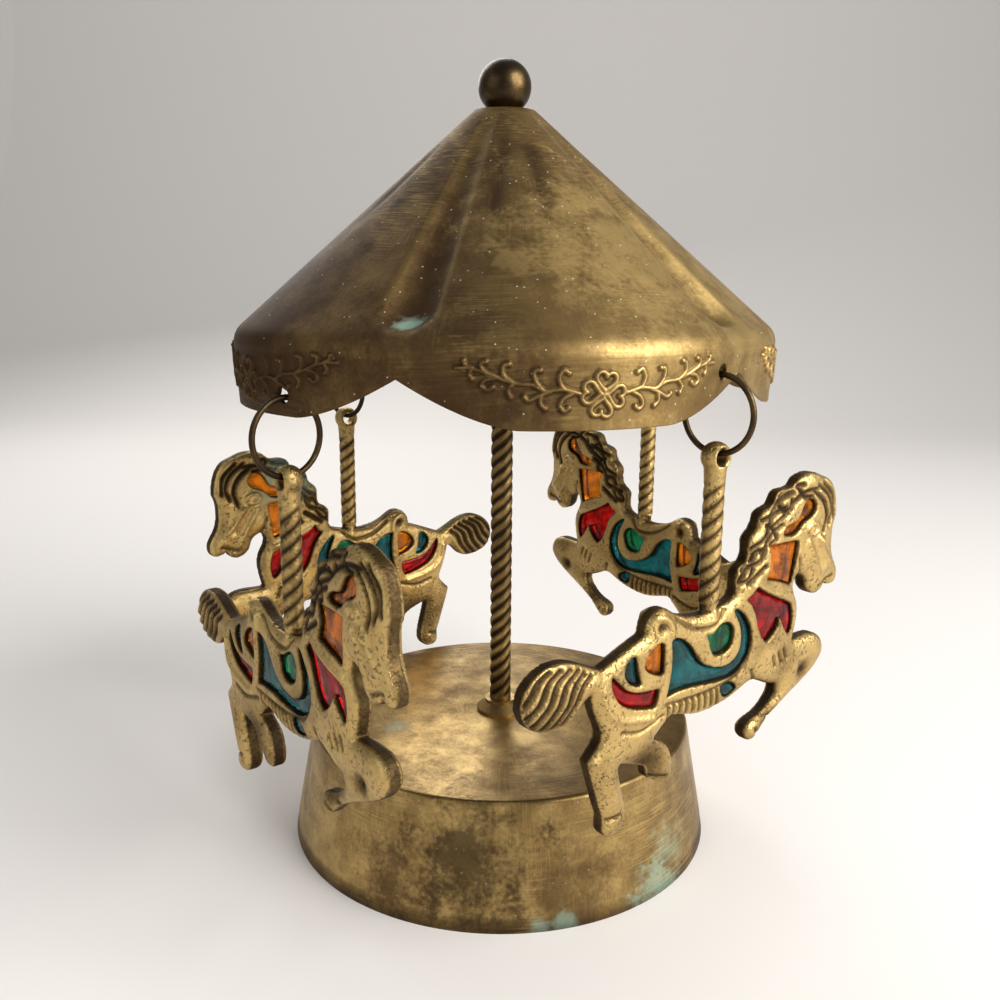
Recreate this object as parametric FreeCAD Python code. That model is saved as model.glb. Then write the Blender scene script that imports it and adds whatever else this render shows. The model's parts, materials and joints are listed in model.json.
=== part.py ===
import FreeCAD, Part
import math
import os

# Carousel music box. Millimetres, +Z up, origin on the table under the carousel axis.
# Azimuths run from the front (-Y) towards the right (+X).

# Base: a tapered spun brass cup, open below
BASE_BOTTOM_R = 50.0
BASE_TOP_R = 45.4
BASE_HEIGHT = 26.9
BASE_WALL = 1.2
BASE_EDGE_ROUND = 1.0

# Fits
RUNNING_FIT = 0.05
PRESS_FIT = 0.02
INLAY_FIT = 0.04

# Pole and its bush
POLE_R = 2.55
BUSH_FOOT_R = 5.7
BUSH_NECK_R = 3.7
BUSH_HEIGHT = 3.0
BUSH_SHANK_R = 4.2
BUSH_SHANK_DEPTH = 2.4
STUD_R = 1.5
WASHER_R = 5.4
WASHER_THICKNESS = 1.0

# Canopy: one pressed sheet, a conical roof with a lobed and scalloped skirt
LOBES = 5
LOBE_AZIMUTH = 16.9
LOBE_HEIGHT = 1.24
CANOPY_SHEET = 1.0
CANOPY_TOP_Z = 165.5
CANOPY_TOP_R = 6.75
SKIRT_R = 59.0
SKIRT_TAPER = 0.7
RIM_Z = 119.2
RIM_ROUND = 1.5
VALLEY_START = 0.02
VALLEY_START_RISE = 0.3
VALLEY_END = 0.90
VALLEY_DEPTH = 2.2
VALLEY_START_R = 2.0
VALLEY_END_R = 7.5
SCALLOP_LOW_Z = 105.0
NOTCH_HEIGHT = 8.3
NOTCH_SPAN = 22.0
NOTCH_POWER = 1.5
NOTCH_STEPS = 5
LOBE_POINTS = 12

# Ball finial
BALL_R = 5.74
BALL_THREAD_DEPTH = 6.0

# Rings that hang the horses
HORSES = 4
FIRST_HORSE_AZIMUTH = 46.0
RING_R = 7.6
RING_WIRE_R = 0.6
RING_GAP_ANGLE = 5.0
RING_GAP_AT = 150.0
RING_HOLE_R = 1.35
RING_PLAY = 0.3
RING_HOLE_RISE = 4.0

# Horse casting, drawn about the middle of its pole eye: forward, then up
HORSE_THICKNESS = 4.8
HORSE_YAW = -8.5
EYE_R = 3.0
EYE_THICKNESS = 4.4
EYE_HOLE_R = 1.6
EYE_HOLE_CHAMFER = 0.7
EYE_PLAY = 0.35
HORSE_POLE_R = 2.1
EYE_NECK_DROP = 4.5
HORSE_POLE_FOOT = 32.5
INLAY_RECESS = 0.7

OUTLINE = (
    ((5.6, -29.6), (6.9, -27.6), (6.6, -25.6), (7.6, -23.4), (9.6, -22.2), (10.0, -20.0), (10.6, -17.4),
     (12.4, -15.8), (13.0, -13.8), (15.0, -12.2), (17.2, -11.6), (18.2, -9.8), (20.6, -8.8), (23.4, -8.6),
     (25.2, -7.2), (28.0, -6.3), (31.0, -6.5), (33.4, -7.4), (35.8, -8.4), (37.6, -10.6), (38.6, -13.6)),
    ((38.9, -16.6), (38.2, -18.4), (37.9, -21.4), (38.2, -24.2), (39.2, -26.6), (40.4, -28.6),
     (40.7, -30.6), (39.8, -32.2), (37.6, -32.3)),
    ((36.0, -31.4), (35.4, -32.8), (33.8, -33.6), (31.8, -33.2), (30.0, -31.6), (29.2, -29.4), (27.8, -28.3)),
    ((26.4, -28.0), (25.4, -29.6), (25.6, -31.4), (26.8, -33.6), (27.4, -36.6), (27.0, -39.8)),
    ((26.2, -42.9), (29.5, -42.7), (33.0, -42.7), (35.6, -43.5), (37.3, -45.4), (37.6, -47.6), (36.4, -49.6),
     (33.0, -52.2), (28.0, -54.7), (23.0, -57.2), (18.6, -60.0), (16.4, -62.0), (14.4, -62.9),
     (12.7, -61.8), (12.5, -59.8), (14.2, -58.4), (17.0, -57.6), (20.0, -55.8), (22.0, -53.6)),
    ((21.4, -51.6), (18.6, -50.9), (15.8, -49.6), (13.2, -48.9), (10.0, -49.8), (6.0, -51.1), (1.0, -51.9),
     (-4.0, -51.8), (-8.0, -50.8)),
    ((-11.0, -50.2), (-13.2, -51.8)),
    ((-15.4, -53.8), (-13.2, -55.0), (-11.2, -56.6), (-10.1, -59.0), (-9.8, -62.0), (-10.6, -64.0),
     (-12.4, -64.0), (-14.8, -62.8), (-16.8, -61.2), (-17.2, -59.6), (-18.6, -58.6), (-21.5, -57.4)),
    ((-24.6, -56.4), (-24.0, -60.0), (-23.0, -63.5), (-22.4, -66.5), (-22.6, -68.8), (-24.2, -70.6),
     (-26.4, -71.0), (-28.2, -69.6), (-28.2, -67.4), (-29.0, -64.5), (-30.2, -61.0), (-31.6, -57.0)),
    ((-32.5, -53.8), (-30.4, -51.8), (-29.2, -49.8), (-30.0, -47.0), (-31.4, -43.6)),
    ((-32.0, -40.4), (-34.6, -42.0), (-37.0, -44.2), (-40.5, -45.0), (-44.0, -44.4), (-47.0, -42.6),
     (-48.4, -39.6), (-47.8, -36.6), (-45.4, -34.0), (-41.6, -32.5), (-37.6, -32.8), (-33.6, -34.4)),
    ((-29.6, -36.2), (-26.6, -35.0), (-22.6, -33.4)),
    ((-18.6, -32.0), (-18.0, -29.4), (-16.2, -27.8), (-13.6, -27.6), (-11.4, -28.8), (-8.4, -30.2),
     (-5.0, -30.9), (-1.5, -31.0), (2.4, -30.5)),
)

# Windows for the coloured resin, in the same drawing
AMBER_WINDOWS = (
    (((15.4, -20.0), (20.0, -19.9)), ((24.9, -20.2), (24.2, -25.0)), ((23.4, -29.6), (19.4, -28.0)),
     ((15.0, -26.8), (16.2, -23.4))),
    (((19.4, -17.9), (21.5, -16.3), (24.0, -15.6), (25.6, -13.2), (27.6, -11.7), (29.5, -12.2), (29.9, -14.2),
      (28.4, -15.6), (26.0, -16.5), (24.2, -18.2), (21.8, -18.6)),),
    (((-14.6, -34.2), (-14.5, -37.3)), ((-14.6, -40.4), (-17.6, -39.4), (-19.5, -37.6), (-18.4, -35.4)),),
)
RED_WINDOWS = (
    (((9.0, -30.0), (10.8, -29.5)), ((11.7, -27.6), (13.4, -28.8), (18.0, -31.2)),
     ((23.8, -33.8), (24.7, -37.0)), ((24.0, -40.8), (22.2, -39.0)), ((20.4, -36.2), (18.4, -39.2)),
     ((16.2, -40.6), (13.6, -37.4), (12.0, -33.4))),
    (((-27.8, -37.6), (-27.6, -40.4), (-25.4, -43.6), (-21.4, -45.6)), ((-16.6, -46.7), (-15.8, -44.9)),
     ((-15.7, -43.0), (-19.8, -42.7), (-23.4, -41.7), (-25.9, -39.7))),
)
TEAL_WINDOWS = (
    (((-12.6, -33.8), (-12.2, -39.6)), ((-13.4, -45.4), (-7.0, -44.9), (-2.0, -45.4), (3.0, -45.8),
      (7.0, -45.3), (9.9, -43.2), (11.2, -39.8), (10.6, -36.2), (8.4, -33.0)),
     ((5.6, -31.4), (7.0, -34.2), (7.9, -37.3), (7.5, -40.4), (5.5, -42.4), (2.2, -42.9), (-1.8, -41.8),
      (-4.6, -39.8), (-6.6, -37.0), (-9.2, -34.6))),
    (((-21.7, -35.2), (-23.9, -36.0), (-24.6, -38.0), (-23.4, -40.0)), ((-20.3, -41.0), (-21.3, -38.2))),
    (((2.4, -47.3), (6.8, -47.8)), ((7.7, -49.2), (3.6, -49.6)),),
)
GREEN_WINDOWS = (
    (((-2.6, -34.9), (-0.9, -35.3), (1.3, -34.0), (3.4, -33.7), (5.1, -34.9), (5.4, -37.2), (4.3, -39.3),
      (1.9, -40.1), (-0.4, -39.5), (-1.5, -37.4)),),
)
INLAYS = {"amber": AMBER_WINDOWS, "red": RED_WINDOWS, "teal": TEAL_WINDOWS, "green": GREEN_WINDOWS}

# Winding key and arbor
KEY_CLEAR_OF_TABLE = 0.8
KEY_HUB_R = 3.0
KEY_TOP_GAP = 2.0
KEY_WING_R = 4.0
KEY_WING_DROP = 0.4
KEY_WING_REACH = 8.0
KEY_WING_THICKNESS = 1.6
KEY_SOCKET_FLOOR = 1.0
ARBOR_R = 1.5

# Clutch spring that holds the wound arbor
CLUTCH_WIRE_R = 0.25
CLUTCH_GAP_ANGLE = 30.0
CLUTCH_POST_LENGTH = 1.6
CLUTCH_R = 1.9
CLUTCH_POST_R = 0.6

# Movement bedplate, hung from posts under the base top
MOVEMENT_ROOM = 18.1
BEDPLATE_THICKNESS = 1.2
BEDPLATE_EDGE_GAP = 2.2
ARBOR_BUSH_R = 3.2
POST_COUNT = 3
POST_EDGE_DISTANCE = 5.0
POST_FIRST_ANGLE = 75.0
POST_R = 2.5
SCREW_R = 1.0
SCREW_HEAD_R = 1.9
SCREW_HEAD_HEIGHT = 0.8
SCREW_BITE = 4.0

# Bottom cover with the finger well for the key
COVER_Z = 1.4
COVER_THICKNESS = 1.0
COVER_EDGE_GAP = 2.3
COVER_WELL_R = 17.5
COVER_SCREW_MARGIN = 1.0
SPACER_FIRST_ANGLE = 15.0

# Spring barrel with its crown of teeth
BARREL_LIFT = 0.4
BARREL_R = 16.2
BARREL_HEIGHT = 4.0
BARREL_FLOOR = 0.8
BARREL_CAP = 0.8
CROWN_FACE = 2.8
CROWN_TEETH = 50
SPRING_STRIP = 0.35
SPRING_TURNS = 7
SPRING_INNER_R = 2.6
SPRING_SIDE_PLAY = 0.2
HUB_R = 5.0
HUB_SOCKET_FLOOR = 1.2
HUB_HEIGHT = 8.0
GRUB_R = 1.0

# Cylinder, comb and fly, lying along +X
GEAR_MODULE = 0.6
PINION_TEETH = 10
PINION_FACE = 1.6
WHEEL_MODULE = 0.5
WHEEL_TEETH = 28
FLY_TEETH = 8
WHEEL_FACE = 1.2
MESH_PLAY = 0.08
TOOTH_SHARE = 0.72
CYLINDER_ARBOR_R = 1.0
CYLINDER_R = 4.6
PIN_R = 0.16
PIN_HEIGHT = 0.5
PINS_PER_TRACK = 3
PIN_TURN = 137.5
BRACKET_THICKNESS = 1.2
BRACKET_GAP = 0.7
BRACKET_SIDE = 4.0
BRACKET_HEAD = 2.7
END_PLAY = 0.6
TINES = 18
TINE_GAP = 0.25
BRACKET_EDGE_GAP = 0.6
TINE_LENGTH = 9.0
TINE_PLUCK_PLAY = 0.12
COMB_THICKNESS = 0.8
COMB_BAR = 6.0
COMB_END = 1.0
FLY_ARBOR_R = 0.7
FLY_VANE_THICKNESS = 0.4
FLY_VANE_LENGTH = 14.0
FLY_VANE_CLEAR = 0.5

# Heights and stations that follow
BASE_UNDER_TOP = BASE_HEIGHT - BASE_WALL
COVER_R = BASE_BOTTOM_R - BASE_WALL - COVER_EDGE_GAP
BEDPLATE_R = BASE_TOP_R - BASE_WALL - BEDPLATE_EDGE_GAP
POST_CIRCLE_R = BEDPLATE_R - POST_EDGE_DISTANCE
BEDPLATE_Z = BASE_UNDER_TOP - MOVEMENT_ROOM
BEDPLATE_TOP = BEDPLATE_Z + BEDPLATE_THICKNESS
PLATE_SCREW_LENGTH = BEDPLATE_THICKNESS + SCREW_BITE
COVER_SCREW_LENGTH = BEDPLATE_Z - COVER_Z - COVER_SCREW_MARGIN
KEY_HUB_HEIGHT = BEDPLATE_Z - KEY_TOP_GAP - KEY_CLEAR_OF_TABLE
KEY_WING_HEIGHT = KEY_HUB_HEIGHT - KEY_WING_DROP
BARREL_Z = BEDPLATE_TOP + BARREL_LIFT
CROWN_ROOT_Z = BARREL_Z + BARREL_HEIGHT
CROWN_MEAN_R = BARREL_R - CROWN_FACE / 2
BARREL_INNER_R = BARREL_R - CROWN_FACE
PINION_R = GEAR_MODULE * PINION_TEETH / 2
AXIS_Z = CROWN_ROOT_Z + GEAR_MODULE + PINION_R + MESH_PLAY
INNER_BRACKET_X = BARREL_R + BRACKET_GAP
CYLINDER_X = INNER_BRACKET_X + BRACKET_THICKNESS + END_PLAY
OUTER_BRACKET_X = BEDPLATE_R - BRACKET_EDGE_GAP - BRACKET_THICKNESS
WHEEL_X = OUTER_BRACKET_X - END_PLAY - WHEEL_FACE
CYLINDER_LENGTH = WHEEL_X - END_PLAY - CYLINDER_X
TINE_PITCH = (CYLINDER_LENGTH - 2 * COMB_END) / TINES
TINE_WIDTH = TINE_PITCH - TINE_GAP
WHEEL_R = WHEEL_MODULE * WHEEL_TEETH / 2
FLY_PINION_R = WHEEL_MODULE * FLY_TEETH / 2
FLY_Y = WHEEL_R + FLY_PINION_R + MESH_PLAY
KEY_TOP = KEY_CLEAR_OF_TABLE + KEY_HUB_HEIGHT
HUB_Z = CROWN_ROOT_Z
POLE_FOOT_Z = HUB_Z + HUB_SOCKET_FLOOR
CANOPY_SEAT_Z = CANOPY_TOP_Z - CANOPY_SHEET
POLE_SHOULDER_Z = CANOPY_SEAT_Z - WASHER_THICKNESS
LOBE_STEP = 360.0 / LOBES

Z_AXIS = FreeCAD.Vector(0, 0, 1)
CENTRE = FreeCAD.Vector(0, 0, 0)
ALONG_X = FreeCAD.Rotation(FreeCAD.Vector(1, 1, 1), 120)


def vec(x, y, z):
    return FreeCAD.Vector(x, y, z)


def rod(radius, z_low, z_high, x=0.0, y=0.0):
    return Part.makeCylinder(radius, z_high - z_low, vec(x, y, z_low))


def rod_x(radius, x_low, x_high, y, z):
    return Part.makeCylinder(radius, x_high - x_low, vec(x_low, y, z), vec(1, 0, 0))


def turned(points):
    """Solid of revolution about Z from a closed list of (radius, height)."""
    corners = [vec(r, 0, z) for r, z in points]
    face = Part.Face(Part.makePolygon(corners + corners[:1]))
    return face.revolve(CENTRE, Z_AXIS, 360)


def around(count, first_angle, radius):
    """Places on a circle about the axis, by mathematical angle."""
    angles = [math.radians(first_angle + 360.0 * k / count) for k in range(count)]
    return [(radius * math.cos(a), radius * math.sin(a)) for a in angles]


def group(shapes):
    return Part.makeCompound(shapes)


# Base and cover


def base_radius(z):
    return BASE_BOTTOM_R + (BASE_TOP_R - BASE_BOTTOM_R) * z / BASE_HEIGHT


def base_shell():
    outer = Part.makeCone(BASE_BOTTOM_R, BASE_TOP_R, BASE_HEIGHT)
    top_edges = [e for e in outer.Edges if e.BoundBox.ZMin > BASE_HEIGHT / 2 and e.Closed]
    outer = outer.makeFillet(BASE_EDGE_ROUND, top_edges[:1])
    inner_low = BASE_BOTTOM_R - BASE_WALL
    inner_high = base_radius(BASE_UNDER_TOP) - BASE_WALL
    hollow = Part.makeCone(inner_low, inner_high, BASE_UNDER_TOP)
    hole = rod(BUSH_SHANK_R + PRESS_FIT, BASE_UNDER_TOP - BASE_WALL, BASE_HEIGHT + BASE_WALL)
    return outer.cut(hollow).cut(hole)


def pole_bush():
    top = BASE_HEIGHT + BUSH_HEIGHT
    low = BASE_HEIGHT - BUSH_SHANK_DEPTH
    bore = POLE_R + RUNNING_FIT
    return turned([(bore, low), (BUSH_SHANK_R, low), (BUSH_SHANK_R, BASE_HEIGHT), (BUSH_FOOT_R, BASE_HEIGHT),
                   (BUSH_FOOT_R, BASE_HEIGHT + BUSH_HEIGHT / 4), (BUSH_NECK_R, top - BUSH_HEIGHT / 4),
                   (BUSH_NECK_R, top), (bore, top)])


def screw(x, y, head_top_z, length):
    """Cheese-head screw driven upwards, its head under the given height."""
    head = rod(SCREW_HEAD_R, head_top_z - SCREW_HEAD_HEIGHT, head_top_z, x, y)
    return head.fuse(rod(SCREW_R, head_top_z, head_top_z + length, x, y))


def tapped_post(x, y, z_low, z_high, length):
    bore = rod(SCREW_R + PRESS_FIT, z_low, z_low + length + PRESS_FIT, x, y)
    return rod(POST_R, z_low, z_high, x, y).cut(bore)


def post_places():
    return around(POST_COUNT, POST_FIRST_ANGLE, POST_CIRCLE_R)


def spacer_places():
    return around(POST_COUNT, SPACER_FIRST_ANGLE, POST_CIRCLE_R)


def mounting_posts():
    return group([tapped_post(x, y, BEDPLATE_TOP, BASE_UNDER_TOP, PLATE_SCREW_LENGTH) for x, y in post_places()])


def cover_spacers():
    foot = COVER_Z + COVER_THICKNESS
    return group([tapped_post(x, y, foot, BEDPLATE_Z, COVER_SCREW_LENGTH) for x, y in spacer_places()])


def bedplate_screws():
    return group([screw(x, y, BEDPLATE_Z, PLATE_SCREW_LENGTH) for x, y in post_places()])


def cover_screws():
    return group([screw(x, y, COVER_Z, COVER_SCREW_LENGTH) for x, y in spacer_places()])


def bottom_cover():
    plate = rod(COVER_R, COVER_Z, COVER_Z + COVER_THICKNESS)
    plate = plate.cut(rod(COVER_WELL_R, 0, COVER_Z + 2 * COVER_THICKNESS))
    for x, y in spacer_places():
        plate = plate.cut(rod(SCREW_R + PRESS_FIT, 0, COVER_Z + 2 * COVER_THICKNESS, x, y))
    return plate


def bedplate():
    plate = rod(BEDPLATE_R, BEDPLATE_Z, BEDPLATE_TOP)
    for x, y in post_places():
        plate = plate.cut(rod(SCREW_R + PRESS_FIT, 0, BEDPLATE_TOP + 1, x, y))
    return plate.cut(rod(ARBOR_BUSH_R + PRESS_FIT, 0, BEDPLATE_TOP + 1))


def arbor_bush():
    bush = rod(ARBOR_BUSH_R, BEDPLATE_Z, BEDPLATE_TOP + BARREL_LIFT / 2)
    return bush.cut(rod(ARBOR_R + RUNNING_FIT, 0, BARREL_Z))


# Winding key, arbor and clutch


def winding_key():
    low = KEY_CLEAR_OF_TABLE
    wing_z = low + KEY_WING_HEIGHT / 2
    back = KEY_WING_THICKNESS / 2
    shape = rod(KEY_HUB_R, low, KEY_TOP)
    for side in (-1, 1):
        centre = vec(side * KEY_WING_REACH, -back, 0)
        leaf = Part.makeCylinder(KEY_WING_R, KEY_WING_THICKNESS, centre, vec(0, 1, 0))
        squash = FreeCAD.Matrix()
        squash.scale(1, 1, KEY_WING_HEIGHT / (2 * KEY_WING_R))
        leaf = leaf.transformGeometry(squash)
        leaf.translate(vec(0, 0, wing_z))
        shape = shape.fuse(leaf)
    web = Part.makeBox(2 * KEY_WING_REACH, KEY_WING_THICKNESS, KEY_WING_HEIGHT / 2,
                       vec(-KEY_WING_REACH, -back, wing_z - KEY_WING_HEIGHT / 4))
    return shape.fuse(web).cut(rod(ARBOR_R, low + KEY_SOCKET_FLOOR, KEY_TOP + 1)).removeSplitter()


def winding_arbor():
    return rod(ARBOR_R, KEY_CLEAR_OF_TABLE + KEY_SOCKET_FLOOR, CROWN_ROOT_Z - BARREL_CAP - RUNNING_FIT)


def clutch_spring():
    ring = Part.makeTorus(CLUTCH_R, CLUTCH_WIRE_R, CENTRE, Z_AXIS, -180, 180, 360 - CLUTCH_GAP_ANGLE)
    ring.rotate(CENTRE, Z_AXIS, 90)
    ring.translate(vec(0, 0, BEDPLATE_Z - CLUTCH_WIRE_R))
    return ring


def clutch_post():
    x = CLUTCH_R + CLUTCH_WIRE_R + CLUTCH_POST_R
    return rod(CLUTCH_POST_R, BEDPLATE_Z - CLUTCH_POST_LENGTH, BEDPLATE_Z, x)


# Spring barrel and the drive up to the pole


def crown_tooth():
    root = TOOTH_SHARE * math.pi * GEAR_MODULE / 4
    foot = CROWN_ROOT_Z - GEAR_MODULE
    tip = CROWN_ROOT_Z + 2 * GEAR_MODULE - MESH_PLAY
    corners = [vec(BARREL_INNER_R, -root, foot), vec(BARREL_INNER_R, root, foot),
               vec(BARREL_INNER_R, root, CROWN_ROOT_Z), vec(BARREL_INNER_R, root / 2, tip),
               vec(BARREL_INNER_R, -root / 2, tip), vec(BARREL_INNER_R, -root, CROWN_ROOT_Z)]
    face = Part.Face(Part.makePolygon(corners + corners[:1]))
    return face.extrude(vec(CROWN_FACE, 0, 0))


def spring_barrel():
    drum = rod(BARREL_R, BARREL_Z, CROWN_ROOT_Z)
    drum = drum.cut(rod(BARREL_INNER_R, BARREL_Z + BARREL_FLOOR, CROWN_ROOT_Z + 1))
    drum = drum.cut(rod(ARBOR_R + RUNNING_FIT, 0, CROWN_ROOT_Z))
    ring = rod(BARREL_R, BARREL_Z, CROWN_ROOT_Z + 2 * GEAR_MODULE).cut(rod(BARREL_INNER_R, 0, AXIS_Z))
    teeth = []
    for k in range(CROWN_TEETH):
        tooth = crown_tooth()
        tooth.rotate(CENTRE, Z_AXIS, 360.0 * (k + 0.5) / CROWN_TEETH)
        teeth.append(tooth)
    return drum.multiFuse([group(teeth).common(ring)]).removeSplitter()


def barrel_cap():
    return rod(BARREL_INNER_R - PRESS_FIT, CROWN_ROOT_Z - BARREL_CAP, CROWN_ROOT_Z)


def spiral(radius_low, radius_high, turns, z):
    """Spiral edge in the plane at height z."""
    steps = 16 * turns
    points = []
    for k in range(steps + 1):
        angle = 2 * math.pi * turns * k / steps
        radius = radius_low + (radius_high - radius_low) * k / steps
        points.append(vec(radius * math.cos(angle), radius * math.sin(angle), z))
    curve = Part.BSplineCurve()
    curve.interpolate(points)
    return curve.toShape()


def mainspring():
    low = BARREL_Z + BARREL_FLOOR + SPRING_SIDE_PLAY
    high = CROWN_ROOT_Z - BARREL_CAP - SPRING_SIDE_PLAY
    outer_r = BARREL_INNER_R - RUNNING_FIT
    outside = spiral(SPRING_INNER_R + SPRING_STRIP, outer_r, SPRING_TURNS, low)
    inside = spiral(SPRING_INNER_R, outer_r - SPRING_STRIP, SPRING_TURNS, low)
    ends = [Part.makeLine(inside.Vertexes[k].Point, outside.Vertexes[k].Point) for k in (0, 1)]
    face = Part.Face(Part.Wire(Part.__sortEdges__([outside, ends[1], inside, ends[0]])))
    return face.extrude(vec(0, 0, high - low))


def drive_hub():
    hub = rod(HUB_R, HUB_Z, HUB_Z + HUB_HEIGHT)
    hub = hub.cut(rod(POLE_R + PRESS_FIT, POLE_FOOT_Z, HUB_Z + HUB_HEIGHT + 1))
    return hub.cut(rod_x(GRUB_R + PRESS_FIT, 0, HUB_R + 1, 0, HUB_Z + HUB_HEIGHT / 2))


def hub_grub_screw():
    return rod_x(GRUB_R, POLE_R + PRESS_FIT, HUB_R, 0, HUB_Z + HUB_HEIGHT / 2)


# Pole, canopy and finial


def centre_pole():
    pole = rod(POLE_R, POLE_FOOT_Z, POLE_SHOULDER_Z)
    return pole.fuse(rod(STUD_R, POLE_SHOULDER_Z, CANOPY_TOP_Z + BALL_THREAD_DEPTH))


def seat_washer():
    washer = rod(WASHER_R, POLE_SHOULDER_Z, CANOPY_SEAT_Z)
    return washer.cut(rod(STUD_R + PRESS_FIT, 0, CANOPY_TOP_Z))


def lobe_swell(azimuth):
    return LOBE_HEIGHT * math.cos(math.radians(LOBES * (azimuth - LOBE_AZIMUTH)))


def lobed_wire(radius, swell, z):
    """Closed five-lobed curve; swell is the share of the full lobe height."""
    points = []
    for k in range(LOBES * LOBE_POINTS):
        azimuth = 360.0 * k / (LOBES * LOBE_POINTS)
        reach = radius + swell * lobe_swell(azimuth)
        turn = math.radians(azimuth)
        points.append(vec(reach * math.sin(turn), -reach * math.cos(turn), z))
    curve = Part.BSplineCurve()
    curve.interpolate(points, True)
    return Part.Wire(curve.toShape())


def canopy_profile():
    """Outside of the sheet from the top shoulder down to the skirt's edge: radius, height."""
    round_in = RIM_ROUND * 0.3
    return [(CANOPY_TOP_R, CANOPY_TOP_Z), (SKIRT_R - RIM_ROUND, RIM_Z + RIM_ROUND),
            (SKIRT_R - round_in, RIM_Z), (SKIRT_R, RIM_Z - RIM_ROUND), (SKIRT_R - SKIRT_TAPER, SCALLOP_LOW_Z)]


def inner_profile():
    """The same sheet's inside: each point moved in along the mean of its two normals."""
    outside = canopy_profile()
    before = [(0.0, CANOPY_TOP_Z)] + outside[:-1]
    after = outside[1:] + [(outside[-1][0] - SKIRT_TAPER, outside[-1][1] - (RIM_Z - SCALLOP_LOW_Z))]
    inside = []
    for (r0, z0), (r1, z1), (r2, z2) in zip(before, outside, after):
        d1 = vec(r1 - r0, 0, z1 - z0).normalize()
        d2 = vec(r2 - r1, 0, z2 - z1).normalize()
        n1 = vec(d1.z, 0, -d1.x)
        n2 = vec(d2.z, 0, -d2.x)
        step = (n1 + n2) * (CANOPY_SHEET / (1 + n1.dot(n2)))
        inside.append((r1 + step.x, z1 + step.z))
    r_low, z_low = inside[-1]
    inside[-1] = (r_low, z_low - CANOPY_SHEET)
    return inside


def lobed_solid(profile):
    wires = [lobed_wire(r, 0.0 if k == 0 else 1.0, z) for k, (r, z) in enumerate(profile)]
    return Part.makeLoft(wires, True, True)


def edge_z(azimuth):
    """Height of the scalloped edge at an azimuth."""
    from_centre = abs((azimuth - LOBE_AZIMUTH + LOBE_STEP / 2) % LOBE_STEP - LOBE_STEP / 2)
    climb = max(0.0, from_centre - (LOBE_STEP / 2 - NOTCH_SPAN)) / NOTCH_SPAN
    return SCALLOP_LOW_Z + NOTCH_HEIGHT * climb ** NOTCH_POWER


def notch_cutter(azimuth):
    """Radial prism under the pointed arch between two lobes."""
    below = SCALLOP_LOW_Z - NOTCH_HEIGHT
    sides = []
    for side in (-1, 1):
        points = []
        for k in range(NOTCH_STEPS + 1):
            turn = side * NOTCH_SPAN * (1 - k / NOTCH_STEPS)
            x = SKIRT_R * math.sin(math.radians(turn))
            points.append(vec(x, 0, edge_z(azimuth + turn)))
        curve = Part.BSplineCurve()
        curve.interpolate(points)
        sides.append((curve.toShape(), points[0]))
    (left, left_foot), (right, right_foot) = sides
    left_low = vec(left_foot.x, 0, below)
    right_low = vec(right_foot.x, 0, below)
    edges = [left, right, Part.makeLine(right_foot, right_low), Part.makeLine(right_low, left_low),
             Part.makeLine(left_low, left_foot)]
    face = Part.Face(Part.Wire(Part.__sortEdges__(edges)))
    prism = face.extrude(vec(0, -1.5 * SKIRT_R, 0))
    prism.rotate(CENTRE, Z_AXIS, azimuth)
    return prism


def ring_hole_z(azimuth):
    return edge_z(azimuth) + RING_HOLE_RISE


def outward(azimuth):
    turn = math.radians(azimuth)
    return vec(math.sin(turn), -math.cos(turn), 0)


def hang_radius(azimuth):
    """Middle of the skirt's sheet at a ring hole."""
    drop = (RIM_Z - ring_hole_z(azimuth)) / (RIM_Z - SCALLOP_LOW_Z)
    return SKIRT_R + lobe_swell(azimuth) - SKIRT_TAPER * drop - CANOPY_SHEET / 2


def valley_tool(azimuth, growth):
    """Round-nosed cone laid along the roof, which sinks into it from nothing to the valley's depth."""
    (top_r, top_z), (eave_r, eave_z) = canopy_profile()[:2]
    top = outward(azimuth) * top_r + vec(0, 0, top_z)
    fall = outward(azimuth) * (eave_r + lobe_swell(azimuth)) + vec(0, 0, eave_z) - top
    normal = fall.cross(Z_AXIS.cross(outward(azimuth))).normalize()
    normal = normal * math.copysign(1.0, normal.z)
    start = top + fall * VALLEY_START + normal * (VALLEY_START_R + VALLEY_START_RISE)
    end = top + fall * VALLEY_END + normal * (VALLEY_END_R - VALLEY_DEPTH)
    run = end - start
    small = VALLEY_START_R + growth
    large = VALLEY_END_R + growth
    spread = math.asin((large - small) / run.Length)
    ahead = run.normalize()
    radial = ahead.cross(Z_AXIS.cross(outward(azimuth)))
    tail = start - ahead * (small * math.sin(spread))
    shoulder = end - ahead * (large * math.sin(spread)) + radial * (large * math.cos(spread))
    middle = math.radians(45) - spread / 2
    crown = end + ahead * (large * math.sin(middle)) + radial * (large * math.cos(middle))
    nose = end + ahead * large
    brow = tail + radial * (small * math.cos(spread))
    edges = [Part.makeLine(tail, brow), Part.makeLine(brow, shoulder),
             Part.Arc(shoulder, crown, nose).toShape(), Part.makeLine(nose, tail)]
    return Part.Face(Part.Wire(edges)).revolve(end, ahead, 360)


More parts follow.
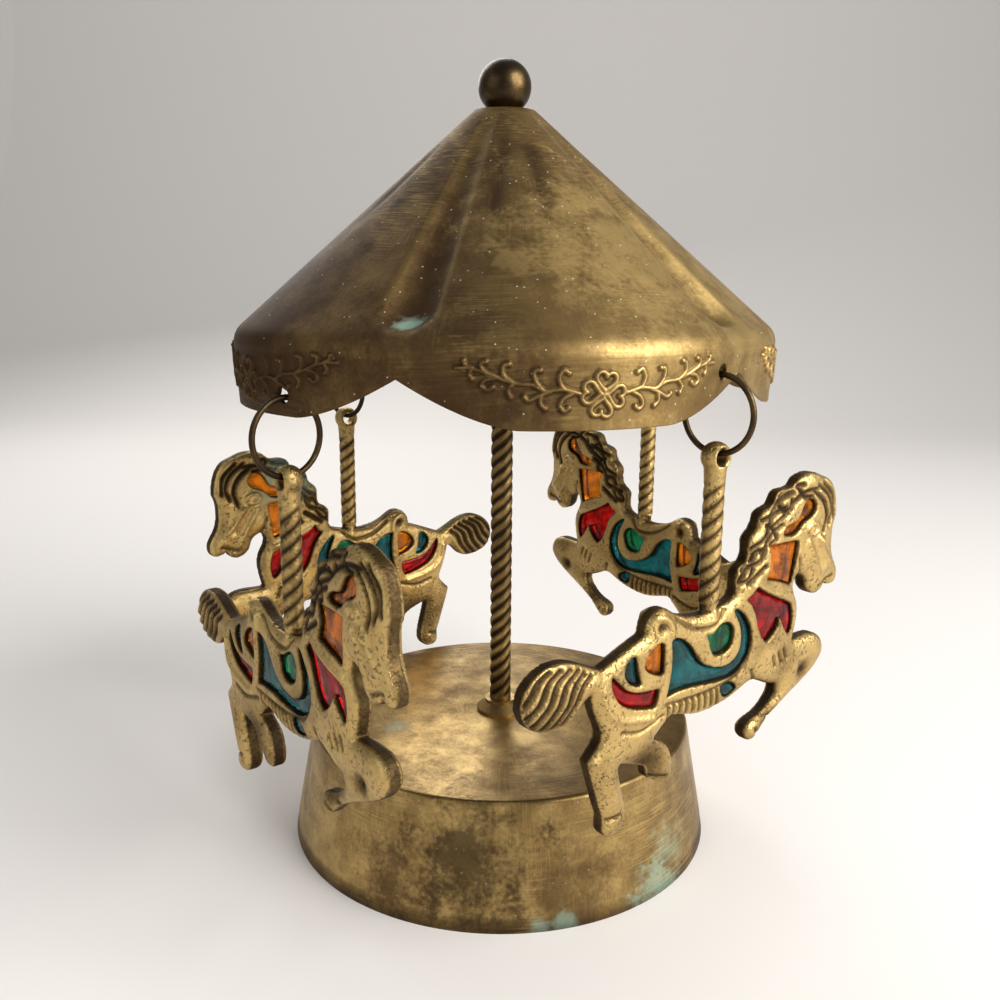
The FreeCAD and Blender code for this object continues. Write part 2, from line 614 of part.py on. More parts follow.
def canopy():
    outside = lobed_solid(canopy_profile())
    inside = lobed_solid(inner_profile())
    for k in range(LOBES):
        azimuth = LOBE_AZIMUTH + LOBE_STEP * (k + 0.5)
        outside = outside.cut(valley_tool(azimuth, 0.0))
        inside = inside.cut(valley_tool(azimuth, CANOPY_SHEET))
    shape = outside.cut(inside)
    for k in range(LOBES):
        shape = shape.cut(notch_cutter(LOBE_AZIMUTH + LOBE_STEP * (k + 0.5)))
    for azimuth in horse_azimuths():
        start = outward(azimuth) * (hang_radius(azimuth) - RING_R)
        start.z = ring_hole_z(azimuth)
        shape = shape.cut(Part.makeCylinder(RING_HOLE_R, 2 * RING_R, start, outward(azimuth)))
    return shape.cut(rod(STUD_R + PRESS_FIT, CANOPY_SEAT_Z - 1, CANOPY_TOP_Z + 1))


def ball_finial():
    centre_z = CANOPY_TOP_Z + BALL_R * math.cos(math.asin(0.5))
    ball = Part.makeSphere(BALL_R, vec(0, 0, centre_z))
    ball = ball.cut(rod(2 * BALL_R, CANOPY_TOP_Z - 2 * BALL_R, CANOPY_TOP_Z))
    return ball.cut(rod(STUD_R + PRESS_FIT, CANOPY_TOP_Z - 1, CANOPY_TOP_Z + BALL_THREAD_DEPTH + PRESS_FIT))


# Rings and horses


def horse_azimuths():
    return [FIRST_HORSE_AZIMUTH + 360.0 * k / HORSES for k in range(HORSES)]


def ring_top_z(azimuth):
    """Wire centre where the ring rests on the lower side of its hole."""
    return ring_hole_z(azimuth) - RING_HOLE_R + RING_WIRE_R + RING_PLAY


def eye_z(azimuth):
    """Middle of the pole eye, hung on the bottom of the ring."""
    return ring_top_z(azimuth) - 2 * RING_R - (EYE_HOLE_R - RING_WIRE_R - EYE_PLAY)


def ring(azimuth):
    loop = Part.makeTorus(RING_R, RING_WIRE_R, CENTRE, Z_AXIS, -180, 180, 360 - RING_GAP_ANGLE)
    loop.rotate(CENTRE, Z_AXIS, RING_GAP_AT)
    loop.rotate(CENTRE, vec(1, 0, 0), 90)
    loop.rotate(CENTRE, Z_AXIS, azimuth - 90)
    place = outward(azimuth) * hang_radius(azimuth)
    place.z = ring_top_z(azimuth) - RING_R
    loop.translate(place)
    return loop


def closed_wire(stretches, depth):
    """Closed wire of smooth stretches that meet at corners, in the plane y = depth."""
    edges = []
    for k, stretch in enumerate(stretches):
        following = stretches[(k + 1) % len(stretches)]
        points = [vec(u, depth, v) for u, v in stretch + following[:1]]
        if len(points) == 2:
            edges.append(Part.makeLine(points[0], points[1]))
            continue
        curve = Part.BSplineCurve()
        curve.interpolate(points)
        edges.append(curve.toShape())
    return Part.Wire(edges)


def inset(stretches, distance):
    """The same closed drawing with every point moved inwards."""
    points = [vec(u, v, 0) for stretch in stretches for u, v in stretch]
    count = len(points)
    swept = sum(points[k - 1].x * points[k].y - points[k].x * points[k - 1].y for k in range(count))
    reach = math.copysign(distance, swept)
    moved = []
    for k, point in enumerate(points):
        d1 = (point - points[k - 1]).normalize()
        d2 = (points[(k + 1) % count] - point).normalize()
        n1 = vec(-d1.y, d1.x, 0)
        n2 = vec(-d2.y, d2.x, 0)
        step = (n1 + n2) * (reach / (1 + n1.dot(n2)))
        moved.append((point.x + step.x, point.y + step.y))
    following = iter(moved)
    return tuple(tuple(next(following) for _ in stretch) for stretch in stretches)


def window(stretches, thickness):
    """Slab of a window's outline, through the middle of the casting."""
    face = Part.Face(closed_wire(stretches, -thickness / 2))
    return face.extrude(vec(0, thickness, 0))


def horse_pole():
    half = EYE_THICKNESS / 2
    eye = Part.makeSphere(EYE_R)
    eye = eye.common(Part.makeBox(2 * EYE_R, EYE_THICKNESS, 2 * EYE_R, vec(-EYE_R, -half, -EYE_R)))
    neck_top_r = EYE_R * 0.8
    neck = Part.makeCone(HORSE_POLE_R, neck_top_r, EYE_NECK_DROP, vec(0, 0, -EYE_NECK_DROP))
    shaft = rod(HORSE_POLE_R, -HORSE_POLE_FOOT, -EYE_NECK_DROP)
    hole = Part.makeCylinder(EYE_HOLE_R, 4 * EYE_R, vec(0, -2 * EYE_R, 0), vec(0, 1, 0))
    flare_r = EYE_HOLE_R + EYE_HOLE_CHAMFER
    for side in (-1, 1):
        flare = Part.makeCone(flare_r, EYE_HOLE_R, EYE_HOLE_CHAMFER, vec(0, side * half, 0), vec(0, -side, 0))
        hole = hole.fuse(flare)
    return eye.fuse(neck).fuse(shaft), hole


def horse_casting():
    plate = Part.Face(closed_wire(OUTLINE, -HORSE_THICKNESS / 2)).extrude(vec(0, HORSE_THICKNESS, 0))
    for windows in INLAYS.values():
        for stretches in windows:
            plate = plate.cut(window(stretches, 2 * HORSE_THICKNESS))
    pole, hole = horse_pole()
    return plate.fuse(pole).cut(hole)


def inlays(colour):
    depth = HORSE_THICKNESS - 2 * INLAY_RECESS
    return group([window(inset(s, INLAY_FIT), depth) for s in INLAYS[colour]])


def hung(shape, azimuth):
    """The horse drawing moved to its place under a ring."""
    place = outward(azimuth) * hang_radius(azimuth)
    place.z = eye_z(azimuth)
    copy = shape.copy()
    copy.Placement = FreeCAD.Placement(place, FreeCAD.Rotation(Z_AXIS, azimuth + HORSE_YAW))
    return copy


# Cylinder, comb and fly


def gear(teeth, module, face, half_step):
    """Straight-toothed gear about Z from z = 0; half_step puts a gap on +X."""
    radius = module * teeth / 2
    half = TOOTH_SHARE * math.pi / (2 * teeth)
    steps = ((radius - 1.15 * module, 1.5 * half), (radius, half), (radius + 0.85 * module, 0.5 * half))
    flank = list(steps) + [(r, -a) for r, a in reversed(steps)]
    corners = []
    for k in range(teeth):
        middle = 2 * math.pi * (k + (0.5 if half_step else 0.0)) / teeth
        for r, a in reversed(flank):
            corners.append(vec(r * math.cos(middle + a), r * math.sin(middle + a), 0))
    return Part.Face(Part.makePolygon(corners + corners[:1])).extrude(vec(0, 0, face))


def lay_along_x(shape, x, y):
    """A shape drawn about Z, laid with its axis along +X at the cylinder's height."""
    shape.Placement = FreeCAD.Placement(vec(x, y, AXIS_Z), ALONG_X)
    return shape


def cylinder_arbor():
    return rod_x(CYLINDER_ARBOR_R, CROWN_MEAN_R - PINION_FACE / 2 - END_PLAY,
                 OUTER_BRACKET_X + BRACKET_THICKNESS + END_PLAY, 0, AXIS_Z)


def bored_gear(shape, bore_r):
    return shape.cut(rod(bore_r, shape.BoundBox.ZMin, shape.BoundBox.ZMax))


def crown_pinion():
    shape = gear(PINION_TEETH, GEAR_MODULE, PINION_FACE, False)
    shape.rotate(CENTRE, Z_AXIS, -90)
    shape = bored_gear(shape, CYLINDER_ARBOR_R + PRESS_FIT)
    return lay_along_x(shape, CROWN_MEAN_R - PINION_FACE / 2, 0)


def cylinder_wheel():
    shape = bored_gear(gear(WHEEL_TEETH, WHEEL_MODULE, WHEEL_FACE, False), CYLINDER_ARBOR_R + PRESS_FIT)
    return lay_along_x(shape, WHEEL_X, 0)


def tine_x(k):
    return CYLINDER_X + COMB_END + TINE_PITCH * (k + 0.5)


def pinned_cylinder():
    drum = rod_x(CYLINDER_R, CYLINDER_X, CYLINDER_X + CYLINDER_LENGTH, 0, AXIS_Z)
    pins = []
    for k in range(TINES):
        for j in range(PINS_PER_TRACK):
            turn = math.radians(PIN_TURN * k + 360.0 * j / PINS_PER_TRACK)
            way = vec(0, math.cos(turn), math.sin(turn))
            start = vec(tine_x(k), 0, AXIS_Z) + way * (CYLINDER_R - PIN_HEIGHT)
            pins.append(Part.makeCylinder(PIN_R, 2 * PIN_HEIGHT, start, way))
    drum = drum.multiFuse(pins)
    return drum.cut(rod_x(CYLINDER_ARBOR_R + PRESS_FIT, 0, OUTER_BRACKET_X, 0, AXIS_Z))


def bracket(x):
    top = AXIS_Z + BRACKET_HEAD
    plate = Part.makeBox(BRACKET_THICKNESS, FLY_Y + 2 * BRACKET_SIDE, top - BEDPLATE_TOP,
                         vec(x, -BRACKET_SIDE, BEDPLATE_TOP))
    plate = plate.cut(rod_x(CYLINDER_ARBOR_R + RUNNING_FIT, 0, BASE_BOTTOM_R, 0, AXIS_Z))
    return plate.cut(rod_x(FLY_ARBOR_R + RUNNING_FIT, 0, BASE_BOTTOM_R, FLY_Y, AXIS_Z))


def fly_arbor():
    return rod_x(FLY_ARBOR_R, INNER_BRACKET_X, OUTER_BRACKET_X + BRACKET_THICKNESS, FLY_Y, AXIS_Z)


def fly_pinion():
    shape = bored_gear(gear(FLY_TEETH, WHEEL_MODULE, WHEEL_FACE, True), FLY_ARBOR_R + PRESS_FIT)
    return lay_along_x(shape, WHEEL_X, FLY_Y)


def fly_vanes():
    reach = FLY_Y - CYLINDER_R - PIN_HEIGHT - FLY_VANE_CLEAR
    plate = Part.makeBox(FLY_VANE_LENGTH, FLY_VANE_THICKNESS, 2 * reach,
                         vec(CYLINDER_X, FLY_Y - FLY_VANE_THICKNESS / 2, AXIS_Z - reach))
    sleeve = rod_x(2 * FLY_ARBOR_R, CYLINDER_X, CYLINDER_X + FLY_VANE_LENGTH, FLY_Y, AXIS_Z)
    bore = rod_x(FLY_ARBOR_R + PRESS_FIT, 0, BASE_BOTTOM_R, FLY_Y, AXIS_Z)
    return plate.fuse(sleeve).cut(bore)


def comb_tip_y():
    return -(CYLINDER_R + PIN_HEIGHT + TINE_PLUCK_PLAY)


def comb_bar_y():
    return comb_tip_y() - TINE_LENGTH - COMB_BAR


def comb_length():
    return TINES * TINE_PITCH


def comb_screw_places():
    x_low = CYLINDER_X + COMB_END
    return [(x_low + comb_length() * share, comb_bar_y() + COMB_BAR / 2) for share in (0.25, 0.75)]


def comb():
    low = AXIS_Z - COMB_THICKNESS / 2
    shape = Part.makeBox(comb_length(), COMB_BAR, COMB_THICKNESS,
                         vec(CYLINDER_X + COMB_END, comb_bar_y(), low))
    tines = [Part.makeBox(TINE_WIDTH, TINE_LENGTH + COMB_BAR / 2, COMB_THICKNESS,
                          vec(tine_x(k) - TINE_WIDTH / 2, comb_bar_y() + COMB_BAR / 2, low))
             for k in range(TINES)]
    shape = shape.multiFuse(tines).removeSplitter()
    for x, y in comb_screw_places():
        shape = shape.cut(rod(SCREW_R + PRESS_FIT, 0, BASE_HEIGHT, x, y))
    return shape


def comb_block():
    top = AXIS_Z - COMB_THICKNESS / 2
    block = Part.makeBox(comb_length(), COMB_BAR, top - BEDPLATE_TOP,
                         vec(CYLINDER_X + COMB_END, comb_bar_y(), BEDPLATE_TOP))
    for x, y in comb_screw_places():
        block = block.cut(rod(SCREW_R + PRESS_FIT, top - SCREW_BITE - PRESS_FIT, top + 1, x, y))
    return block


def comb_screws():
    top = AXIS_Z + COMB_THICKNESS / 2
    screws = []
    for x, y in comb_screw_places():
        head = rod(SCREW_HEAD_R, top, top + SCREW_HEAD_HEIGHT, x, y)
        screws.append(head.fuse(rod(SCREW_R, top - COMB_THICKNESS - SCREW_BITE, top, x, y)))
    return group(screws)


def all_parts():
    parts = {
        "base_shell": base_shell(),
        "pole_bush": pole_bush(),
        "mounting_posts": mounting_posts(),
        "bedplate": bedplate(),
        "bedplate_screws": bedplate_screws(),
        "cover_spacers": cover_spacers(),
        "bottom_cover": bottom_cover(),
        "cover_screws": cover_screws(),
        "arbor_bush": arbor_bush(),
        "clutch_spring": clutch_spring(),
        "clutch_post": clutch_post(),
        "winding_key": winding_key(),
        "winding_arbor": winding_arbor(),
        "spring_barrel": spring_barrel(),
        "barrel_cap": barrel_cap(),
        "mainspring": mainspring(),
        "drive_hub": drive_hub(),
        "hub_grub_screw": hub_grub_screw(),
        "centre_pole": centre_pole(),
        "seat_washer": seat_washer(),
        "canopy": canopy(),
        "ball_finial": ball_finial(),
        "cylinder_arbor": cylinder_arbor(),
        "crown_pinion": crown_pinion(),
        "pinned_cylinder": pinned_cylinder(),
        "cylinder_wheel": cylinder_wheel(),
        "inner_bracket": bracket(INNER_BRACKET_X),
        "outer_bracket": bracket(OUTER_BRACKET_X),
        "comb": comb(),
        "comb_block": comb_block(),
        "comb_screws": comb_screws(),
        "fly_arbor": fly_arbor(),
        "fly_pinion": fly_pinion(),
        "fly_vanes": fly_vanes(),
    }
    casting = horse_casting()
    glass = {colour: inlays(colour) for colour in INLAYS}
    for k, azimuth in enumerate(horse_azimuths(), start=1):
        parts[f"ring_{k}"] = ring(azimuth)
        parts[f"horse_{k}"] = hung(casting, azimuth)
        for colour, pieces in glass.items():
            parts[f"horse_{k}_{colour}_glass"] = hung(pieces, azimuth)
    return parts


def main():
    os.makedirs("parts", exist_ok=True)
    for name, shape in all_parts().items():
        shape.exportStep(f"parts/{name}.step")
        print(name, len(shape.Solids), round(shape.Volume, 2), shape.isValid())


if __name__ == "__main__":
    main()
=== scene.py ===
"""Looks of a brass carousel music box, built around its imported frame."""

import json
import math

import bpy
import numpy as np
from mathutils import Matrix, Vector
from mathutils.kdtree import KDTree


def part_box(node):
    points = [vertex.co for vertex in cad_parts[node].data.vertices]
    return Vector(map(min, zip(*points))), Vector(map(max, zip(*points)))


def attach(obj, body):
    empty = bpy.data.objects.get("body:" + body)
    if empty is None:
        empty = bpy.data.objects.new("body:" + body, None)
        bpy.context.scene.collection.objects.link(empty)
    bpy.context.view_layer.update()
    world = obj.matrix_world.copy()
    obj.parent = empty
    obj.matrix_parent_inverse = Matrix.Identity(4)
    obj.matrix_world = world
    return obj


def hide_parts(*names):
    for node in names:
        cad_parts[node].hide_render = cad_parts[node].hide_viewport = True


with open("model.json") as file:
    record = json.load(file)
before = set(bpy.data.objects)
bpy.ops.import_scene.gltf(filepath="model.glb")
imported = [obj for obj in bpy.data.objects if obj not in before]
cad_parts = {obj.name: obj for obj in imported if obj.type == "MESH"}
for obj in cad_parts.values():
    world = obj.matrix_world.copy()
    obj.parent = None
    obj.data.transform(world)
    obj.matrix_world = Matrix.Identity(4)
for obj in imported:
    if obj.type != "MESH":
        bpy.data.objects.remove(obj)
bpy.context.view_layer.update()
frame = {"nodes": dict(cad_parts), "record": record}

bl_info = {
    "name": "Carousel music box",
    "version": (1, 0, 0),
    "blender": (4, 5, 0),
    "location": "View3D > Sidebar > Music box",
    "description": "Builds the visible surfaces of a brass carousel music box",
    "category": "Object",
}

MM = 0.001
FAR = 99.0
COLOURS = ("amber", "red", "teal", "green")
SOCKETS = {"f": "NodeSocketFloat", "v": "NodeSocketVector", "c": "NodeSocketColor"}

# Canopy, in millimetres and degrees; azimuths run from the front towards the right.
LOBES = 5
LOBE_AZIMUTH = 16.9
LOBE_HEIGHT = 1.24
APEX = (6.75, 165.5)
EAVE = ((57.5, 120.7), (58.2, 119.9), (58.7, 118.9), (59.0, 117.7))
SKIRT_LOW = (58.3, 105.0)
SKIRT_TOP_Z = 119.2
SHEET = 1.0
ROOF_LEAN = 41.5
CAP_RADII = (1.52, 3.5, 5.6, 6.5)
ROOF_ROWS = 46
SKIRT_ROWS = 66
CANOPY_COLUMNS = 1800
NOTCH_HEIGHT = 8.3
NOTCH_SPAN = 22.0
NOTCH_POWER = 1.5
RING_HOLE_R = 1.35
RING_HOLE_RISE = 4.0
HOLE_EASE = 0.25
HOLE_BLEND = 2.5
HOLE_CUT = 0.95
RING_AZIMUTHS = (46.0, 136.0, 226.0, 316.0)
FLOWER_Z = 111.4
VALLEY = {"start": 0.02, "end": 0.9, "start_r": 2.0, "end_r": 7.5, "rise": 0.3, "lip": 0.6,
          "reach": (2.5, 0.6), "fade": 0.1}
ROOF_SLANT = 66.8
CREASES = (((-1, 0.1), (-5, 0.6)), ((17, 0.1), (13, 0.6)), ((85, 0.1), (88, 0.5)),
           ((-60, 0.12), (-57, 0.55)), ((160, 0.1), (164, 0.55)), ((232, 0.12), (229, 0.5)))
CREASE_DEPTH = 0.42
CREASE_WIDTH = 1.6
CREASE_FADE = 0.15
# Painted highlight along each valley's lip: its offset and width in millimetres.
LIP_HIGHLIGHT_OFFSET = 0.5
LIP_HIGHLIGHT_WIDTH = 0.7
# Relief tone: the raised vine rubbed brighter, patina in the moat round it, painted shade in the valleys, a
# painted highlight on the valley lips, and darker along the creases.
CANOPY_WEAR_AND_PAINTED_LIGHT = {"raised": 0.3, "moat": -0.45, "valley": -0.14, "lip": 0.25, "crease": -0.7}

# Stains, and painted light and shade: centre and reach in millimetres, colour name and strength.
CANOPY_STAINS_AND_PAINTED_LIGHT = (
    # A painted sunlit patch on the front panel's right, in the rubbed brass colour.
    ((24, -34, 138), 30, "fresh", 0.55),
    # Reddish patina on the skirt's left, laid on heavily as painted shade.
    ((-10, -57, 112), 24, "umber", 0.75),
    ((-45, -36, 112), 24, "umber", 0.6),
    ((-16.8, -48.5, 122.3), 3, "verdigris", 0.75),
    ((-27, -49, 118), 1.8, "dark", 0.9),
    ((-23.5, -52, 118), 1.4, "dark", 0.9),
    ((-38, -38, 112), 2.6, "dark", 0.8),
    ((-26, -30, 136), 3, "dark", 0.6),
    ((-30, -26, 133), 2.2, "dark", 0.7),
    ((-33, -33, 128), 2, "dark", 0.7),
    ((-21, -22, 145), 2, "dark", 0.6),
    ((19, -43, 128.5), 1.4, "dust", 0.9),
)
BASE_STAINS_AND_SHADE = (
    ((-6, -47.5, 15), 17, "dark", 0.8),
    ((-22, -44, 9), 13, "umber", 0.75),
    ((14, -47, 8), 15, "umber", 0.6),
    ((2, -50, 1), 9, "dark", 0.5),
    ((34.5, -36, 2), 9, "verdigris", 0.55),
    ((37.5, -31, 9), 8, "verdigris", 0.3),
    ((8, -49.4, 1.2), 3, "verdigris", 0.5),
    ((13.5, -48, 1.2), 3, "verdigris", 0.45),
    ((-24.3, -10.7, 26.9), 4, "verdigris", 0.5),
    # Reddish patina on the top, laid on as painted shade from the canopy.
    ((14, -30, 26.9), 14, "umber", 0.4),
)

# Vine on one side of a flower: (tangential, up) from the flower's centre.
STEM = ((4.4, 0.2), (7, 0.9), (8.8, 0.8), (10.4, 0.7), (12.6, 1.7), (15, 1.9), (17.5, 2.6), (20, 3.6),
        (22.6, 4.3), (25.2, 4.4))
VINE_R = 0.5
VINE_END_R = 0.66
PETAL_R = 0.58
PETAL_WIDTH = 3.8
PETAL_OUT = 2.4
FLOWER_TURN = -8.0
VINE_END_RISE = 1.1
PETAL_RISE = 1.2
RIDGE_POWER = 1.2
VINE_MARGIN = (0.3, 1.2)
MOAT_AT = 0.55
MOAT_WIDTH = 0.25
TENDRILS = (
    ((6, 0.6), (7.3, 1.2), (8, 2.8), (7.3, 4.2), (6.3, 3.7)),
    ((10.8, 0.9), (12, 2.4), (12.2, 4), (11.2, 4.2)),
    ((15.6, 2), (17.2, 3.2), (17.3, 4.8), (16.4, 5.2)),
    ((19.4, 3.3), (20.8, 4.2), (21, 5.2), (20.2, 5.5)),
    ((22.4, 4.4), (23.6, 4.9), (23.9, 5.6)),
    ((5.6, 0.2), (7.1, -0.6), (7.7, -1.9), (7, -2.8), (6.2, -2.3)),
    ((9.4, 0.6), (11.2, -0.1), (13, -1), (13.8, -0.4)),
    ((11, 0), (11, -1.6), (10.2, -2.4)),
    ((15.6, 1.8), (16.5, 0.7), (16, -0.5)),
    ((18.4, 2.8), (20.2, 2.4), (20.8, 1.4), (19.9, 0.7), (19, 1.2)),
    ((22.4, 4.4), (22.9, 3.3), (22.5, 2.5)),
)

# Carving of a horse's face: (forward, up) from a datum 2 mm ahead of the eye's centre.
CARVING_DATUM = 2.0
MANE = (
    ((8, -28), (11, -24), (15, -22.5), (16.5, -19)),
    ((10, -24), (12.5, -20), (16, -18), (18, -14), (22, -12.5)),
    ((11, -18), (14, -15), (18, -13.5), (21, -10.5), (25, -9.5)),
    ((14.5, -13), (19, -10.8), (23, -8.8), (28, -8.4)),
    ((18, -16), (22, -14), (25, -11.5), (29, -10), (33, -9.8)),
    ((15, -21), (18, -17.5), (21, -16)),
    ((11.5, -27), (14, -25.5), (16.5, -24)),
    ((33, -9), (36.5, -11.5), (38, -15), (37, -18)),
    ((31, -9.8), (34.5, -12.5), (36, -16), (35, -19.5)),
    ((35, -8.8), (38.4, -12), (39, -16.5)),
    ((16.5, -15.5), (18.4, -16.6), (19.2, -18.6), (17.6, -19.6)),
    ((12.4, -22.4), (13.6, -20.6), (15.6, -20.4)),
    ((20.4, -12), (21.6, -13.2), (23.4, -12.8), (24, -11.2)),
    ((26.5, -9), (28, -10.8), (30.6, -11.2)),
    ((9.4, -26.6), (11.4, -26), (12.8, -24)),
)
TAIL = (
    ((-31, -36.5), (-33, -38), (-34.5, -41), (-37.5, -44.3)),
    ((-32.5, -35.5), (-35, -37.5), (-36.5, -41), (-40, -44.6)),
    ((-34, -34.8), (-37, -36.8), (-38.8, -40.5), (-42.3, -44.2)),
    ((-35.8, -34.2), (-39, -36), (-41, -39.8), (-44.6, -43.2)),
    ((-38, -33.8), (-41, -35.5), (-43, -38.8), (-46, -41.4)),
    ((-40.5, -33.6), (-43, -35), (-45, -37.5), (-46.8, -39.2)),
)
STRAPS = (
    ((30, -21), (33, -26), (35.2, -30)),
    ((33.5, -20.5), (36, -24), (38.2, -26.5)),
    ((13, -27.5), (19, -30), (26, -32)),
    ((-18, -30), (-15, -28.6), (-11.4, -30), (-10.5, -33)),
    ((-28, -40), (-27, -44), (-23, -47), (-15, -48.6)),
)
FOLDS = (
    ((27.5, -24), (29, -28), (31, -29.5)),
    ((35.5, -31.6), (38.6, -30.4)),
    ((-9, -30), (-4, -33), (2, -33.6), (5, -31)),
    ((-11.5, -47), (-5, -47.3), (3, -47), (10, -45.5), (13, -41)),
    ((-23, -49.5), (-18, -50.5), (-12, -49)),
    ((14, -46), (16, -49), (20, -51.5)),
    ((20.5, -44.5), (21.5, -46.8)),
    ((22.5, -44), (23.5, -46.4)),
    ((24.3, -43.6), (25.2, -45.8)),
    ((17, -60.3), (19.6, -63.2)),
    ((21.3, -58.4), (24, -61)),
    ((-29.6, -67.2), (-22.8, -66.5)),
    ((-15.8, -61), (-10.2, -62.4)),
)
STROKES = ((MANE, 0.55, -0.85), (TAIL, 0.6, -0.8), (FOLDS, 0.45, -0.5), (STRAPS, 0.7, 0.55))
FRINGE = {"ribs": 9, "start": -10.6, "step": 1.75, "top": -47.8, "foot": -50.8, "lean": 0.6}
FRINGE_STROKE = (0.38, -0.6)
EYE = {"place": (31.0, -18.2), "long": 1.8, "short": 1.2, "rise": 0.65, "width": 0.3}
DIMPLES = (((-13, -31), 1.1, -0.8), ((39.6, -30.2), 0.6, -0.5), ((31.0, -18.2), 0.8, 0.45),
           ((31.5, -50), 1.7, -0.8), ((-15.5, -58.5), 4.5, -0.6), ((20, -57), 3.0, -0.4),
           ((29.5, -25), 2.4, 0.4), ((34.6, -21.2), 0.9, 0.6), ((36.6, -27.6), 1.2, 0.35),
           ((-27, -47), 3.5, 0.4), ((19, -46), 3.5, 0.3))

# Horse casting, its pole and its inlays.
HORSE_YAW = -8.5
HALF_PLATE = 2.4
EDGE_HALF = 0.9
FACING = (0.5, 0.9)
WALL_FACING = 0.6
WINDOW_RIM = 0.7
WINDOW_SINK = 0.3
CARVING_MARGIN = 0.5
FACE_SWELL = 0.35
SWELL_FROM_EDGE = (1.0, 6.0)
HORSE_POLE = {"radius": 2.1, "band": 4.0, "foot": (-29.5, -28.5), "head": (-6.0, -4.5), "starts": 3,
              "lead": 9.0, "slack": 0.4, "share": 0.5}
RING_LIFT = 0.9
EYE_BELOW_RING = 15.85
MANE_STAIN = (17, HALF_PLATE, -13)
RUMP_STAIN = (-24, -HALF_PLATE, -36)
STAINED_MANE = 3
DOME_SPREAD = 1.1

# Spun base and centre pole.
BASE = {"foot": 50.0, "top": 45.4, "height": 26.9, "wall": 1.2, "round": 1.0, "bore": 3.2, "edge_turn": 80.0}
BASE_ROWS = {"top": 24, "edge": 7, "wall": 16}
BASE_COLUMNS = 240
DENT_WAVES = ((0.13, 1.0), (0.17, 0.0), (0.21, 0.5))
DENT_SHARE = 0.0016
DENT_FROM = {"height": 2.0, "radius": 12.0}
DARK_FOOT_HEIGHT = 2.5
# Tone of the base: the top darkened as painted shade from the canopy, the wall a little, and the foot band
# more.
BASE_WEAR_AND_SHADE = {"top": -0.12, "wall": -0.1, "dark_foot": -0.55}
POLE = {"radius": 2.55, "starts": 4, "lead": 12.0, "from": 30.2, "to": 158.0, "fade": 1.5, "rows": 420,
        "columns": 64, "tip": 0.01}
TWIST_POWER = 1.5

# Finishes: added roughness, bump depths and brushing radius in millimetres, and the resin.
CAST_ROUGHNESS = 0.1
VERDIGRIS_ROUGHNESS = 0.35
DUST_ROUGHNESS = 0.4
GRAIN_DEPTH = 0.06
CAST_DEPTH = 0.28
BUMP_STRENGTH = 0.6
BRUSHING_RADIUS = 45.0
RESIN = {"Roughness": 0.1, "IOR": 1.3, "Transmission Weight": 0.75, "Specular IOR Level": 0.3}

# Stage, in metres, but the camera's place in millimetres; yaw in radians, pitch and roll in degrees.
CAMERA = {"place": (0, -230, 131.95), "lens": 36.14, "sensor": 36.0, "near": 0.01, "yaw": -0.0017,
          "pitch": 12.855, "roll": 0.4126}
LAMPS = (("key", (0.55, -0.35, 0.45), 0.55, 9.4), ("fill", (-0.6, -0.5, 0.35), 0.6, 1.1),
         ("back", (-0.2, 0.6, 0.5), 0.5, 2.6))
LAMP_TARGET = (0, 0, 0.08)
FLOOR_COLOUR = (0.76, 0.72, 0.68, 1.0)
FLOOR_ROUGHNESS = 0.75
FLOOR_FRONT = -2.0
FLOOR_SIDE = 3.0
FLOOR_HALF = 0.6
FLOOR_CURVE = 0.5
CURVE_STEPS = 16
WALL_TOP = 2.5
CORNERS = ((1, 1), (1, -1), (-1, -1), (-1, 1))
CORNER_STEPS = 10
SURROUND = (0.31, 0.32, 0.33, 1.0)
WHITE = (1.0, 1.0, 1.0, 1.0)


def length_property(label, text, size):
    """A length setting, given in millimetres."""
    return bpy.props.FloatProperty(name=label, description=text, default=size * MM, unit="LENGTH")


class MusicBoxShape(bpy.types.PropertyGroup):
    """Sizes of the worked surfaces."""

    emboss: length_property("Emboss", "Height of the skirt's vine", 0.6)
    valley: length_property("Valley", "Depth of a roof valley", 2.2)
    voxel: length_property("Grain", "Mesh size of a carved piece", 0.3)
    edge: length_property("Edge", "Rounding of a casting's edges", 2.6)
    carving: bpy.props.FloatProperty(name="Carving", description="Strength of the carving", subtype="FACTOR",
                                     min=0.0, max=2.0, default=1.0)
    twist: length_property("Twist", "Depth of the poles' twist", 0.5)
    dome: length_property("Dome", "Rise of an inlay's face", 0.35)


def colour_property(label, value):
    """A linear RGB colour setting."""
    return bpy.props.FloatVectorProperty(name=label, description=label + " colour", subtype="COLOR", size=3,
                                         min=0.0, max=1.0, default=value)


class MusicBoxColours(bpy.types.PropertyGroup):
    """Colours of the metals and inlays."""

    fresh: colour_property("Rubbed brass", (0.56, 0.39, 0.148))
    aged: colour_property("Aged brass", (0.215, 0.137, 0.05))
    dark: colour_property("Dark patina", (0.04, 0.026, 0.014))
    umber: colour_property("Reddish patina", (0.072, 0.04, 0.019))
    verdigris: colour_property("Verdigris", (0.25, 0.38, 0.29))
    dust: colour_property("Dust", (0.75, 0.7, 0.58))
    steel: colour_property("Steel", (0.5, 0.5, 0.49))
    amber: colour_property("Amber resin", (0.86, 0.235, 0.004))
    red: colour_property("Red resin", (0.56, 0.004, 0.004))
    teal: colour_property("Teal resin", (0.004, 0.15, 0.16))
    green: colour_property("Green resin", (0.005, 0.24, 0.085))


def millimetres(name):
    """A size set in the sidebar, in millimetres."""
    return getattr(bpy.context.scene.music_box_shape, name) / MM


def colour(name):
    return (*getattr(bpy.context.scene.music_box_colours, name), 1.0)


